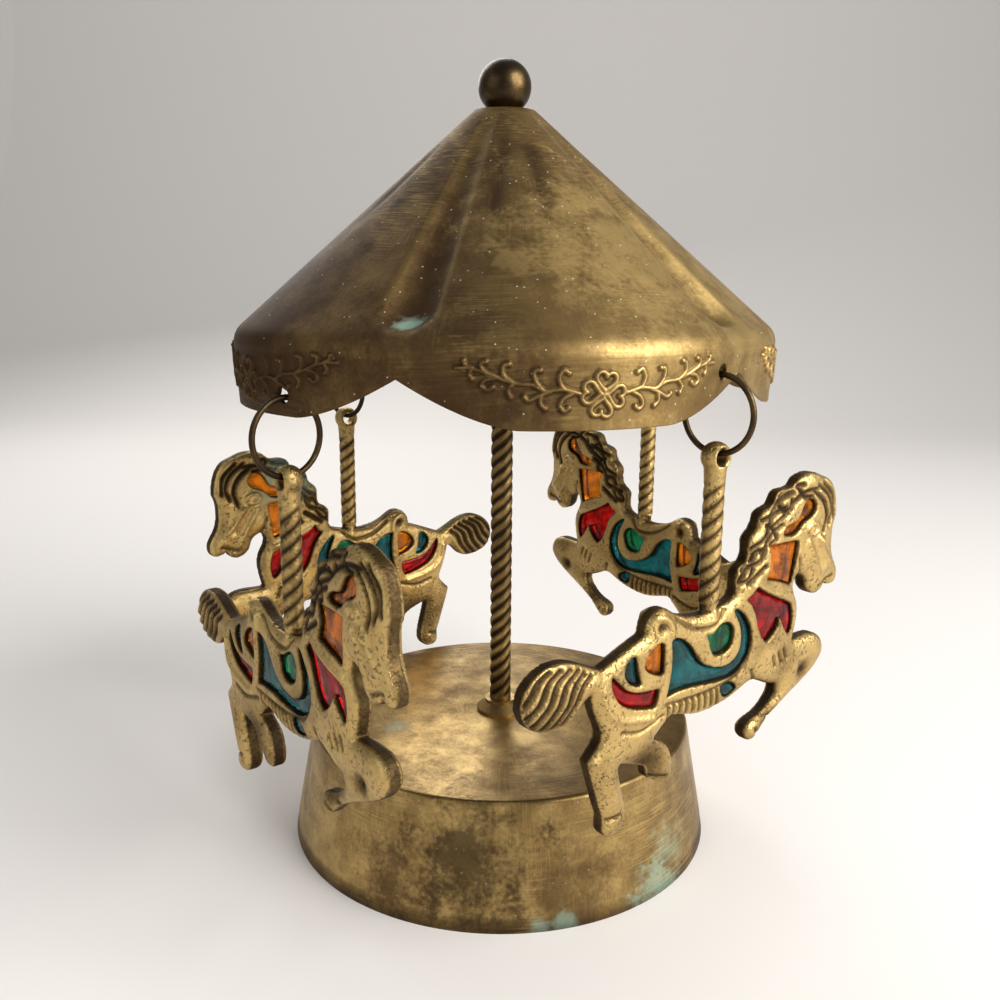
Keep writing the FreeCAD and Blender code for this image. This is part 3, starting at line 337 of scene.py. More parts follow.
class Tree:
    """A node tree being filled."""

    def __init__(self, tree):
        self.tree = tree

    def add(self, kind, inputs=None, **fields):
        """A new node with its fields set and its inputs fed."""
        node = self.tree.nodes.new(kind)
        for key, value in fields.items():
            setattr(node, key, value)
        for key, value in (inputs or {}).items():
            self.feed(node.inputs[key], value)
        return node

    def feed(self, socket, value):
        if isinstance(value, bpy.types.NodeSocket):
            self.tree.links.new(value, socket)
        else:
            socket.default_value = value

    def math(self, operation, first, second=0.0):
        return self.add("ShaderNodeMath", {0: first, 1: second}, operation=operation).outputs[0]

    def ramp(self, value, low, high, to_low=0.0, to_high=1.0):
        inputs = {0: value, 1: low, 2: high, 3: to_low, 4: to_high}
        return self.add("ShaderNodeMapRange", inputs, interpolation_type="SMOOTHSTEP").outputs[0]

    def mix(self, share, first, second):
        return self.add("ShaderNodeMix", {0: share, 6: first, 7: second}, data_type="RGBA").outputs[2]

    def noise(self, vector, scale, detail):
        inputs = {"Vector": vector, "Scale": scale, "Detail": detail}
        return self.add("ShaderNodeTexNoise", inputs).outputs[0]

    def stretch(self, vector, scale, turn=0.0):
        inputs = {"Vector": vector, "Scale": scale, "Rotation": (0.0, turn, 0.0)}
        return self.add("ShaderNodeMapping", inputs).outputs[0]

    def group(self, name, inputs):
        """The outputs of a placed group, which is built at its first use."""
        if name not in bpy.data.node_groups:
            GROUPS[name]()
        return self.add("ShaderNodeGroup", inputs, node_tree=bpy.data.node_groups[name]).outputs


def new_group(name, inputs, outputs):
    """An empty node group: its tree, its input sockets and its output node."""
    group = bpy.data.node_groups.new(name, "ShaderNodeTree")
    for label, kind in inputs:
        group.interface.new_socket(label, in_out="INPUT", socket_type=SOCKETS[kind])
    for label, kind in outputs:
        group.interface.new_socket(label, in_out="OUTPUT", socket_type=SOCKETS[kind])
    tree = Tree(group)
    return tree, tree.add("NodeGroupInput").outputs, tree.add("NodeGroupOutput")


def patina_and_light_group():
    """Brass that is bright where it is raised and rubbed, and dark where it is hollow; painted light and
    shade also come in through the amount and the relief.
    """
    tree, given, out = new_group(
        "Patina and painted light",
        (("Vector", "v"), ("Relief", "f"), ("Amount", "f"), ("Fresh", "c"), ("Aged", "c"), ("Dark", "c")),
        (("Colour", "c"), ("Roughness", "f"), ("Height", "f")))
    broad = tree.noise(given["Vector"], 32.0, 3.0)
    patches = tree.noise(given["Vector"], 170.0, 6.0)
    grain = tree.noise(given["Vector"], 1500.0, 4.0)
    clouds = tree.math("ADD", tree.math("MULTIPLY", broad, 0.75), tree.math("MULTIPLY", patches, 0.75))
    clouds = tree.math("ADD", clouds, tree.math("MULTIPLY", grain, 0.25))
    tarnish_and_painted_light = tree.math("ADD", tree.math("SUBTRACT", clouds, 0.87), given["Amount"])
    # The relief brings in wear and patina, and on some pieces painted shade and painted highlight.
    tarnish_and_painted_light = tree.math("SUBTRACT", tarnish_and_painted_light, tree.math("MULTIPLY", given["Relief"], 0.8))
    worn = tree.mix(tree.ramp(tarnish_and_painted_light, 0.05, 0.55), given["Fresh"], given["Aged"])
    face = tree.mix(tree.ramp(tarnish_and_painted_light, 0.45, 1.05), worn, given["Dark"])
    rough = tree.ramp(tarnish_and_painted_light, 0.0, 1.0, to_low=0.28, to_high=0.50)
    tree.feed(out.inputs["Colour"], face)
    tree.feed(out.inputs["Roughness"], tree.math("ADD", rough, tree.math("MULTIPLY", grain, 0.12)))
    tree.feed(out.inputs["Height"], tree.math("ADD", grain, tree.math("MULTIPLY", patches, 0.6)))


def pits_group():
    """Small dark casting pits, in patches."""
    tree, given, out = new_group("Pits", (("Vector", "v"),), (("Mask", "f"),))
    holes = tree.ramp(tree.noise(given["Vector"], 1300.0, 3.0), 0.54, 0.66)
    patches = tree.ramp(tree.noise(given["Vector"], 120.0, 3.0), 0.28, 0.60)
    tree.feed(out.inputs["Mask"], tree.math("MULTIPLY", holes, patches))


def spot_group():
    """A ragged round patch about a point."""
    tree, given, out = new_group("Spot", (("Vector", "v"), ("Centre", "v"), ("Reach", "f")), (("Mask", "f"),))
    away = tree.add("ShaderNodeVectorMath", {0: given["Vector"], 1: given["Centre"]}, operation="DISTANCE")
    share = tree.math("DIVIDE", away.outputs["Value"], given["Reach"])
    coarse = tree.math("SUBTRACT", tree.noise(given["Vector"], 160.0, 8.0), 0.5)
    fine = tree.math("SUBTRACT", tree.noise(given["Vector"], 900.0, 4.0), 0.5)
    ragged = tree.math("ADD", tree.math("MULTIPLY", coarse, 2.2), tree.math("MULTIPLY", fine, 1.2))
    tree.feed(out.inputs["Mask"], tree.ramp(tree.math("ADD", share, ragged), 1.0, 0.1))


def brushed_group():
    """Fine rubbing marks round the axis and up the walls, in patches."""
    tree, given, out = new_group("Brushed", (("Vector", "v"),), (("Mask", "f"),))
    axes = tree.add("ShaderNodeSeparateXYZ", {0: given["Vector"]}).outputs
    turn = tree.math("ARCTAN2", axes["X"], tree.math("MULTIPLY", axes["Y"], -1.0))
    arc = tree.math("MULTIPLY", turn, BRUSHING_RADIUS * MM)
    flat = tree.add("ShaderNodeCombineXYZ", {0: axes["X"], 1: axes["Y"]}).outputs[0]
    radius = tree.add("ShaderNodeVectorMath", {0: flat}, operation="LENGTH").outputs["Value"]
    climb = tree.math("SUBTRACT", axes["Z"], radius)
    wrapped = tree.add("ShaderNodeCombineXYZ", {0: arc, 2: climb}).outputs[0]
    lines = tree.noise(tree.stretch(wrapped, (2600.0, 1.0, 90.0), turn=0.2), 1.0, 3.0)
    across = tree.noise(tree.stretch(wrapped, (110.0, 1.0, 1600.0), turn=0.1), 1.0, 3.0)
    upright = tree.ramp(tree.noise(given["Vector"], 52.0, 3.0), 0.46, 0.7, to_high=0.55)
    level = tree.ramp(tree.noise(given["Vector"], 37.0, 3.0), 0.46, 0.66)
    marks = tree.math("MULTIPLY", tree.ramp(lines, 0.42, 0.74), upright)
    sweeps = tree.math("MULTIPLY", tree.ramp(across, 0.42, 0.75), level)
    tree.feed(out.inputs["Mask"], tree.math("MAXIMUM", marks, sweeps))


def dust_group():
    """Scattered pale specks."""
    tree, given, out = new_group("Dust", (("Vector", "v"),), (("Mask", "f"),))
    cells = tree.add("ShaderNodeTexVoronoi", {"Vector": given["Vector"], "Scale": 800.0}).outputs
    chance = tree.add("ShaderNodeSeparateColor", {0: cells["Color"]}).outputs[0]
    speck = tree.ramp(cells["Distance"], 0.17, 0.09)
    tree.feed(out.inputs["Mask"], tree.math("MULTIPLY", speck, tree.ramp(chance, 0.80, 0.83)))


GROUPS = {"Patina and painted light": patina_and_light_group, "Pits": pits_group, "Spot": spot_group, "Brushed": brushed_group,
          "Dust": dust_group}


def start_material(name):
    """A fresh material: its tree, its Principled node and its object coordinates."""
    material = bpy.data.materials.new(name)
    material.use_nodes = True
    tree = Tree(material.node_tree)
    surface = material.node_tree.nodes["Principled BSDF"]
    vector = tree.add("ShaderNodeTexCoord").outputs["Object"]
    return material, tree, surface, vector


def relief_of(tree):
    return tree.add("ShaderNodeAttribute", attribute_name="relief").outputs["Fac"]


def bump(tree, surface, height, depth):
    """Bump a surface by a height, at most the depth in millimetres."""
    node = tree.add("ShaderNodeBump", {"Height": height, "Strength": BUMP_STRENGTH, "Distance": depth * MM})
    tree.feed(surface.inputs["Normal"], node.outputs[0])


def aged_metal(name, amount, dark="dark", spots=(), brushed=0.0, dusty=0.0, shade=None, cast=0.0,
               polish=0.0):
    """Brass with patina and its stains, and with the painted light and shade that some pieces give in their
    spots, shade and relief.
    """
    material, tree, surface, vector = start_material(name)
    # A shade function adds its painted shade and darkening to the amount.
    if shade:
        amount = tree.math("ADD", shade(tree, vector), amount)
    patina_and_light = tree.group("Patina and painted light", {"Vector": vector, "Relief": relief_of(tree), "Amount": amount,
                                   "Fresh": colour("fresh"), "Aged": colour("aged"), "Dark": colour(dark)})
    face = patina_and_light["Colour"]
    rough = tree.math("SUBTRACT", patina_and_light["Roughness"], polish)
    height = patina_and_light["Height"]
    crust = None
    if cast:
        pits = tree.math("MULTIPLY", tree.group("Pits", {"Vector": vector})["Mask"], cast)
        face = tree.mix(pits, face, colour("dark"))
        height = tree.math("SUBTRACT", height, pits)
        rough = tree.math("ADD", rough, CAST_ROUGHNESS * cast)
    if brushed:
        marks = tree.math("MULTIPLY", tree.group("Brushed", {"Vector": vector})["Mask"], brushed)
        face = tree.mix(marks, face, colour("fresh"))
    for centre, reach, tint, strength in spots:
        place = tuple(value * MM for value in centre)
        mask = tree.group("Spot", {"Vector": vector, "Centre": place, "Reach": reach * MM})["Mask"]
        mask = tree.math("MULTIPLY", mask, strength)
        face = tree.mix(mask, face, colour(tint))
        if tint == "verdigris":
            crust = tree.math("MAXIMUM", mask, crust) if crust else mask
            rough = tree.math("ADD", rough, tree.math("MULTIPLY", mask, VERDIGRIS_ROUGHNESS))
    if dusty:
        specks = tree.math("MULTIPLY", tree.group("Dust", {"Vector": vector})["Mask"], dusty)
        face = tree.mix(specks, face, colour("dust"))
        rough = tree.math("ADD", rough, tree.math("MULTIPLY", specks, DUST_ROUGHNESS))
    tree.feed(surface.inputs["Base Color"], face)
    tree.feed(surface.inputs["Roughness"], rough)
    surface.inputs["Metallic"].default_value = 1.0
    if crust:
        tree.feed(surface.inputs["Metallic"], tree.math("SUBTRACT", 1.0, crust))
    bump(tree, surface, height, GRAIN_DEPTH + CAST_DEPTH * cast)
    return material


def plain_metal(name, tint, rough):
    """A machined metal with faint tool marks."""
    material, tree, surface, vector = start_material(name)
    marks = tree.noise(tree.stretch(vector, (300.0, 300.0, 3000.0)), 1.0, 3.0)
    clouds = tree.ramp(tree.noise(vector, 120.0, 4.0), 0.35, 0.7)
    darker = tuple(value * 0.7 for value in tint[:3])
    worn = tree.ramp(marks, 0.3, 0.7, to_low=rough - 0.06, to_high=rough + 0.1)
    tree.feed(surface.inputs["Base Color"], tree.mix(clouds, tint, (*darker, 1.0)))
    tree.feed(surface.inputs["Roughness"], worn)
    surface.inputs["Metallic"].default_value = 1.0
    bump(tree, surface, marks, 0.02)
    return material


def resin(name, tint):
    """See-through coloured resin, uneven in depth and crazed into soft facets."""
    material, tree, surface, vector = start_material(name)
    clouds = tree.noise(vector, 260.0, 3.0)
    facets = tree.add("ShaderNodeTexVoronoi", {"Vector": vector, "Scale": 330.0}).outputs
    ripples = tree.noise(vector, 600.0, 2.0)
    deep = tuple(value * 0.3 for value in tint[:3])
    shade = tree.math("ADD", clouds, tree.math("MULTIPLY", facets["Distance"], 0.25))
    tree.feed(surface.inputs["Base Color"], tree.mix(tree.ramp(shade, 0.5, 0.8), tint, (*deep, 1.0)))
    for key, value in RESIN.items():
        surface.inputs[key].default_value = value
    bump(tree, surface, tree.math("ADD", facets["Distance"], ripples), 0.2)
    return material


def smooth_steps(value, low, high):
    """Shares that rise smoothly from 0 at low to 1 at high."""
    share = np.clip((value - low) / (high - low), 0.0, 1.0)
    return share * share * (3.0 - 2.0 * share)


def curve_points(points, step=0.15):
    """Points along a smooth curve through the given ones."""
    knots = np.array(points, float)
    padded = np.vstack([2 * knots[0] - knots[1], knots, 2 * knots[-1] - knots[-2]])
    found = []
    for before, start, end, after in zip(padded, padded[1:], padded[2:], padded[3:]):
        count = max(2, int(np.linalg.norm(end - start) / step))
        share = np.linspace(0.0, 1.0, count, endpoint=False)[:, None]
        found.append(0.5 * (2 * start + (end - before) * share
                            + (2 * before - 5 * start + 4 * end - after) * share ** 2
                            + (3 * start - before - 3 * end + after) * share ** 3))
    found.append(knots[-1:])
    return np.vstack(found)


def distances(points, targets):
    """The distance from each 2-D point to its nearest target point."""
    tree = KDTree(len(targets))
    for index, (across, up) in enumerate(targets):
        tree.insert((across, up, 0.0), index)
    tree.balance()
    return np.array([tree.find((across, up, 0.0))[2] for across, up in points])


def grid_faces(rows, columns, closed):
    """Quads of a grid of rows by columns, its columns joined into a ring when closed."""
    last = columns if closed else columns - 1
    row, column = np.meshgrid(np.arange(rows - 1), np.arange(last), indexing="ij")
    right = (column + 1) % columns
    quads = np.stack([row * columns + column, (row + 1) * columns + column,
                      (row + 1) * columns + right, row * columns + right], axis=-1)
    return quads.reshape(-1, 4)


def new_piece(name, points, faces, relief, material):
    """A smooth mesh object from points in millimetres."""
    mesh = bpy.data.meshes.new(name)
    mesh.from_pydata((np.asarray(points) * MM).tolist(), [], np.asarray(faces).tolist())
    mesh.update()
    mesh.shade_smooth()
    worked = mesh.attributes.new("relief", "FLOAT", "POINT")
    worked.data.foreach_set("value", np.asarray(relief, np.float32))
    mesh.materials.append(material)
    piece = bpy.data.objects.new(name, mesh)
    bpy.context.scene.collection.objects.link(piece)
    return piece


def settle(piece, body, slot, *nodes):
    """Put a piece on its body, in place of the nodes that it dresses."""
    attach(piece, body)
    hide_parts(*nodes)


def lobe_angle(azimuth):
    """Degrees from the nearest panel's middle."""
    pitch = 360.0 / LOBES
    return (np.asarray(azimuth) - LOBE_AZIMUTH + pitch / 2) % pitch - pitch / 2


def edge_height(azimuth):
    """Height of the skirt's scalloped edge."""
    climb = np.clip((np.abs(lobe_angle(azimuth)) - 180.0 / LOBES + NOTCH_SPAN) / NOTCH_SPAN, 0.0, 1.0)
    return SKIRT_LOW[1] + NOTCH_HEIGHT * climb ** NOTCH_POWER


def lobe_swell(azimuth):
    """How far the canopy stands out or in for its lobes."""
    return LOBE_HEIGHT * np.cos(np.radians(LOBES * lobe_angle(azimuth)))


def heart(centre, turn, width):
    """The outline of a heart whose point is turned to the flower's centre."""
    share = np.linspace(0.0, 2 * math.pi, 160)
    across = 16 * np.sin(share) ** 3
    up = 13 * np.cos(share) - 5 * np.cos(2 * share) - 2 * np.cos(3 * share) - np.cos(4 * share)
    outline = np.stack([across, up], axis=1) * width / 32
    spin = np.array([[math.cos(turn), -math.sin(turn)], [math.sin(turn), math.cos(turn)]])
    return outline @ spin.T + centre


def ridge(away, radius):
    """A rounded ridge of the given half width."""
    return np.clip(1 - (away / radius) ** 2, 0.0, 1.0) ** RIDGE_POWER


def flower_outline():
    """Points along the four hearts of a flower, and its middle."""
    found = [np.zeros((1, 2))]
    for quarter in range(4):
        turn = math.radians(90 * quarter + FLOWER_TURN)
        centre = np.array([-math.sin(turn), math.cos(turn)]) * PETAL_OUT
        found.append(heart(centre, turn, PETAL_WIDTH))
    return np.vstack(found)


def vine_height(across, up):
    """Raised share of the vine and flower over one panel, and how near a point lies to them."""
    vine = np.vstack([curve_points(curve) for curve in (STEM, *TENDRILS)])
    ends = np.array([tendril[-1] for tendril in TENDRILS])
    mirrored = np.stack([np.abs(across), up], axis=1)
    to_vine = distances(mirrored, vine)
    to_end = distances(mirrored, ends)
    to_petal = distances(np.stack([across, up], axis=1), flower_outline())
    raised = ridge(to_vine, VINE_R)
    raised = np.maximum(raised, VINE_END_RISE * ridge(to_end, VINE_END_R))
    raised = np.maximum(raised, PETAL_RISE * ridge(to_petal, PETAL_R))
    near = np.minimum(np.minimum(to_vine, to_end), to_petal)
    return raised, near


def canopy_grid():
    """The canopy before working: azimuths by column, and radii and heights by row and column."""
    azimuth = np.arange(CANOPY_COLUMNS) * 360.0 / CANOPY_COLUMNS
    swell = lobe_swell(azimuth)
    level = np.ones(CANOPY_COLUMNS)
    radii = [radius * level for radius in CAP_RADII]
    heights = [APEX[1] * level] * len(CAP_RADII)
    for share in np.linspace(0.0, 1.0, ROOF_ROWS):
        radii.append(APEX[0] + (EAVE[0][0] - APEX[0]) * share + swell * share)
        heights.append((APEX[1] + (EAVE[0][1] - APEX[1]) * share) * level)
    for radius, height in EAVE[1:]:
        radii.append(radius + swell)
        heights.append(height * level)
    top = EAVE[-1]
    for share in np.linspace(0.0, 1.0, SKIRT_ROWS)[1:]:
        height = top[1] + (edge_height(azimuth) - top[1]) * share
        taper = (top[1] - height) / (top[1] - SKIRT_LOW[1])
        radii.append(top[0] + (SKIRT_LOW[0] - top[0]) * taper + swell)
        heights.append(height)
    return azimuth, np.array(radii), np.array(heights)


def valley_depth(azimuth, radii):
    """Depth of the valleys pressed along the roof, and the cut before its lip is rounded."""
    pitch = 360.0 / LOBES
    off = (azimuth - LOBE_AZIMUTH + pitch) % pitch - pitch / 2
    across = np.abs(np.radians(off)[None, :] * radii)
    along = (radii - APEX[0]) / (EAVE[0][0] + lobe_swell(azimuth)[None, :] - APEX[0])
    beyond = np.clip(along - VALLEY["end"], 0.0, None) * ROOF_SLANT
    share = np.clip((along - VALLEY["start"]) / (VALLEY["end"] - VALLEY["start"]), 0.0, 1.0)
    cutter = VALLEY["start_r"] + (VALLEY["end_r"] - VALLEY["start_r"]) * share
    sink = (millimetres("valley") + VALLEY["rise"]) * share - VALLEY["rise"]
    away = np.hypot(across, beyond)
    cut = np.sqrt(np.clip(cutter ** 2 - away ** 2, 0.0, None)) - cutter + sink
    depth = 0.5 * (cut + np.sqrt(cut ** 2 + VALLEY["lip"] ** 2)) * smooth_steps(-cut, *VALLEY["reach"])
    return depth * smooth_steps(along, 0.0, VALLEY["fade"]), cut


def crease_depth(azimuth, radii):
    """Shallow creases that fan out below the top."""
    along = (radii - APEX[0]) / (EAVE[0][0] - APEX[0])
    depth = np.zeros_like(radii)
    for start, end in CREASES:
        line = start[0] + (end[0] - start[0]) * (along - start[1]) / (end[1] - start[1])
        off = (azimuth[None, :] - line + 180.0) % 360.0 - 180.0
        across = np.radians(off) * radii / CREASE_WIDTH
        begun = smooth_steps(along, start[1], start[1] + CREASE_FADE)
        ended = smooth_steps(-along, -end[1], CREASE_FADE - end[1])
        depth += CREASE_DEPTH * np.exp(-across ** 2) * begun * ended
    return depth


def skirt_vine(azimuth, radii, heights, skirt):
    """Raised share of the vine over the skirt's rows, and how near each point lies to it."""
    across = (np.radians(lobe_angle(azimuth))[None, :] * radii)[skirt]
    found, close = vine_height(across.ravel(), heights[skirt].ravel() - FLOWER_Z)
    margin = smooth_steps(heights[skirt] - edge_height(azimuth)[None, :], *VINE_MARGIN)
    raised = np.zeros_like(radii)
    near = np.full_like(radii, FAR)
    raised[skirt] = found.reshape(across.shape) * margin
    near[skirt] = close.reshape(across.shape)
    return raised, near


def worked_canopy():
    """The outside of the pressed and embossed canopy: points, faces and relief."""
    azimuth, radii, heights = canopy_grid()
    row = np.arange(len(radii))
    roof = row <= len(CAP_RADII) + ROOF_ROWS
    skirt = row >= len(CAP_RADII) + ROOF_ROWS + len(EAVE) - 1
    depth, cut = valley_depth(azimuth, radii)
    depth[~roof] = 0.0
    # Painted highlight along the valley lips.
    lip = np.exp(-((cut + LIP_HIGHLIGHT_OFFSET) / LIP_HIGHLIGHT_WIDTH) ** 2) * roof[:, None]
    crease = crease_depth(azimuth, radii) * roof[:, None]
    raised, near = skirt_vine(azimuth, radii, heights, skirt)
    moat = np.exp(-((near - MOAT_AT) / MOAT_WIDTH) ** 2)
    # Painted shade darkens the valleys and a painted highlight lightens their lips.
    fields = {"raised": raised, "moat": moat, "valley": depth, "lip": lip, "crease": crease}
    relief = sum(CANOPY_WEAR_AND_PAINTED_LIGHT[name] * field for name, field in fields.items())
    lift = millimetres("emboss") * raised - depth - crease
    lean = np.radians(np.where(roof, ROOF_LEAN, 90.0))[:, None]
    spin = np.radians(azimuth)[None, :]
    reach = radii + lift * np.sin(lean)
    points = np.stack([reach * np.sin(spin), -reach * np.cos(spin), heights + lift * np.cos(lean)], axis=-1)
    points = points.reshape(-1, 3)
    faces = open_ring_holes(points, grid_faces(*radii.shape, closed=True))
    used, faces = np.unique(faces, return_inverse=True)
    return points[used], faces.reshape(-1, 4), relief.ravel()[used]


class MUSICBOX_OT_canopy(bpy.types.Operator):
    """Build the pressed and embossed canopy"""

    bl_idname = "musicbox.canopy"
    bl_label = "Canopy"

    def execute(self, context):
        points, faces, relief = worked_canopy()
        piece = new_piece("canopy_shell", points, faces, relief, canopy_brass())
        sheet = piece.modifiers.new("Sheet", "SOLIDIFY")
        sheet.thickness = SHEET * MM
        sheet.offset = -1.0
        settle(piece, "carousel", "aged_brass", "canopy")
        return {"FINISHED"}


def open_ring_holes(points, faces):
    """Drop the faces inside each ring hole and move the points about it to a round edge."""
    keep = np.ones(len(faces), bool)
    rim = RING_HOLE_R + HOLE_EASE
    for centre in RING_AZIMUTHS:
        turn = math.radians(centre)
        out = np.array([math.sin(turn), -math.cos(turn)])
        side = np.array([math.cos(turn), math.sin(turn)])
        middle = edge_height(centre) + RING_HOLE_RISE
        across = points[:, :2] @ side
        up = points[:, 2] - middle
        ahead = (points[:, :2] @ out) > 0
        away = np.where(ahead, np.hypot(across, up), FAR)
        inside = away[faces].mean(axis=1) < rim * HOLE_CUT
        keep &= ~inside
        edge = np.intersect1d(np.unique(faces[inside]), np.unique(faces[~inside]))
        crowd = (HOLE_BLEND - rim) / (HOLE_BLEND - away[edge].min())
        reach = np.where(away < HOLE_BLEND, HOLE_BLEND - (HOLE_BLEND - away) * crowd, away)
        reach[edge] = rim
        scale = (reach / away - 1)[:, None]
        points[:, :2] += scale * across[:, None] * side
        points[:, 2:] += scale * up[:, None]
    return faces[keep]


def canopy_shade(tree, vector):
    """Painted shade to the left and painted light to the right, as if lit from the right; and darker on the
    skirt.
    """
    axes = tree.add("ShaderNodeSeparateXYZ", {0: vector}).outputs
    # Painted light on the right and painted shade on the left.
    side = tree.ramp(axes["X"], 0.055, -0.03, to_low=-0.2, to_high=0.3)
    return tree.math("ADD", side, tree.ramp(axes["Z"], 0.1175, 0.116, to_high=0.1))


def canopy_brass():
    """Reddish brown brass, with a painted sunlit patch and painted light on the right and painted shade on
    the left, and with verdigris in one valley.
    """
    return aged_metal("canopy_brass", 0.54, dark="umber", spots=CANOPY_STAINS_AND_PAINTED_LIGHT, brushed=0.5, dusty=0.7,
                      shade=canopy_shade, polish=-0.1)


def lathe(profile, columns):
    """Points and quads of a profile turned about the axis."""
    turn = np.arange(columns) * 2 * math.pi / columns
    ring = np.array(profile, float)
    points = np.stack([ring[:, :1] * np.sin(turn), -ring[:, :1] * np.cos(turn),
                       np.broadcast_to(ring[:, 1:], (len(ring), columns))], axis=-1)
    return points.reshape(-1, 3), grid_faces(len(ring), columns, closed=True)


def base_profile():
    """The base's section: bore, top, rounded edge, wall, foot and inside, back to the bore."""
    edge = BASE["top"] - BASE["round"]
    top = BASE["height"]
    section = [(radius, top) for radius in np.linspace(BASE["bore"], edge, BASE_ROWS["top"])]
    for share in np.linspace(0.0, 1.0, BASE_ROWS["edge"])[1:]:
        turn = share * math.radians(BASE["edge_turn"])
        section.append((edge + BASE["round"] * math.sin(turn), top - BASE["round"] * (1 - math.cos(turn))))
    start = section[-1]
    for share in np.linspace(0.0, 1.0, BASE_ROWS["wall"])[1:]:
        section.append((start[0] + (BASE["foot"] - start[0]) * share, start[1] * (1 - share)))
    inside = top - BASE["wall"]
    section += [(BASE["foot"] - BASE["wall"], 0.0), (BASE["top"] - BASE["wall"], inside)]
    return section + [(BASE["bore"], inside), section[0]]


class MUSICBOX_OT_base(bpy.types.Operator):
    """Build the spun base with its slight dents"""

    bl_idname = "musicbox.base"
    bl_label = "Base"

    def execute(self, context):
        points, faces = lathe(base_profile(), BASE_COLUMNS)
        height = points[:, 2]
        waves = [np.sin(points[:, axis] * pitch + start) for axis, (pitch, start) in enumerate(DENT_WAVES)]
        clear = np.hypot(points[:, 0], points[:, 1]) > DENT_FROM["radius"]
        dents = np.prod(waves, axis=0) * (clear & (height > DENT_FROM["height"]))
        points[:, :2] *= 1 - DENT_SHARE * dents[:, None]
        # Painted shade from the canopy darkens the top; the wall is a little darker.
        relief = np.where(height > BASE["height"] - BASE["round"], BASE_WEAR_AND_SHADE["top"], BASE_WEAR_AND_SHADE["wall"])
        # Darker towards the bottom, in a band at the foot.
        relief = np.where(height < DARK_FOOT_HEIGHT, BASE_WEAR_AND_SHADE["dark_foot"], relief)
        brass = aged_metal("base_brass", 0.28, spots=BASE_STAINS_AND_SHADE, brushed=0.7, dusty=0.3)
        settle(new_piece("base_cup", points, faces, relief, brass), "base", "aged_brass", "base_shell")
        return {"FINISHED"}


def twist_depth(angle, height, starts, lead):
    """Share of the full groove at a point of a twisted bar."""
    phase = starts * (angle - 2 * math.pi * height / lead)
    return (1 - np.abs(np.sin(phase / 2))) ** TWIST_POWER


class MUSICBOX_OT_pole(bpy.types.Operator):
    """Build the rope-twisted centre pole"""

    bl_idname = "musicbox.pole"
    bl_label = "Pole"

    def execute(self, context):
        low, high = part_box("centre_pole")
        heights = np.linspace(high.z / MM, low.z / MM, POLE["rows"])
        section = [(POLE["radius"], height) for height in heights]
        section = [(POLE["tip"], heights[0])] + section + [(POLE["tip"], heights[-1])]
        points, faces = lathe(section, POLE["columns"])
        angle = np.arctan2(points[:, 1], points[:, 0])
        ends = smooth_steps(points[:, 2], POLE["from"], POLE["from"] + POLE["fade"])
        ends *= 1 - smooth_steps(points[:, 2], POLE["to"] - POLE["fade"], POLE["to"])
        groove = twist_depth(angle, points[:, 2], POLE["starts"], POLE["lead"]) * ends
        points[:, :2] *= (1 - millimetres("twist") * groove / POLE["radius"])[:, None]
        # Dark aged brass, darkened further as painted shade under the canopy.
        piece = new_piece("rope_pole", points, faces, 0.5 - 1.5 * groove, aged_metal("pole_brass", 0.80))
        settle(piece, "carousel", "aged_brass", "centre_pole")
        return {"FINISHED"}


def ring_drop(azimuth):
    """Height of a ring's top, and its radius from the axis."""
    hole = edge_height(azimuth) + RING_HOLE_RISE
    taper = (EAVE[-1][0] - SKIRT_LOW[0]) * (SKIRT_TOP_Z - hole) / (SKIRT_TOP_Z - SKIRT_LOW[1])
    return hole - RING_HOLE_R + RING_LIFT, EAVE[-1][0] + lobe_swell(azimuth) - taper - SHEET / 2


def horse_place(azimuth):
    """From a horse's own frame (forward, inward, up from the eye) to the whole, in millimetres."""
    top, radius = ring_drop(azimuth)
    turn = math.radians(azimuth)
    spot = Vector((radius * math.sin(turn), -radius * math.cos(turn), top - EYE_BELOW_RING))
    return Matrix.Translation(spot) @ Matrix.Rotation(math.radians(azimuth + HORSE_YAW), 4, "Z")


def own_points(matrix, points):
    """Points carried by a matrix."""
    turned = np.array(matrix.to_3x3())
    return points @ turned.T + np.array(matrix.translation)


def remeshed(node, place):
    """An even mesh of a frame node in the horse's own frame: points, faces and normals."""
    mesh = frame["nodes"][node].data.copy()
    mesh.transform(place.inverted() @ Matrix.Scale(1 / MM, 4))
    helper = bpy.data.objects.new("helper", mesh)
    bpy.context.scene.collection.objects.link(helper)
    even = helper.modifiers.new("Even", "REMESH")
    even.mode = "VOXEL"
    even.voxel_size = millimetres("voxel")
    ready = helper.evaluated_get(bpy.context.evaluated_depsgraph_get()).to_mesh()
    count = len(ready.vertices)
    points = np.empty(count * 3)
    normals = np.empty(count * 3)
    ready.vertices.foreach_get("co", points)
    ready.vertices.foreach_get("normal", normals)
    faces = [tuple(face.vertices) for face in ready.polygons]
    bpy.data.objects.remove(helper)
    bpy.data.meshes.remove(mesh)
    return points.reshape(-1, 3), faces, normals.reshape(-1, 3)


def side_walls(points, normals):
    """The (forward, up) places of a plate's side walls."""
    walls = np.abs(normals[:, 1]) < WALL_FACING
    return points[walls][:, [0, 2]]


def stroke_height(points, curves, width, height):
    """Height of strokes of one width along curves."""
    targets = np.vstack([curve_points(curve) for curve in curves]) - (CARVING_DATUM, 0.0)
    away = distances(points, targets)
    return height * np.exp(-(away / width) ** 2)


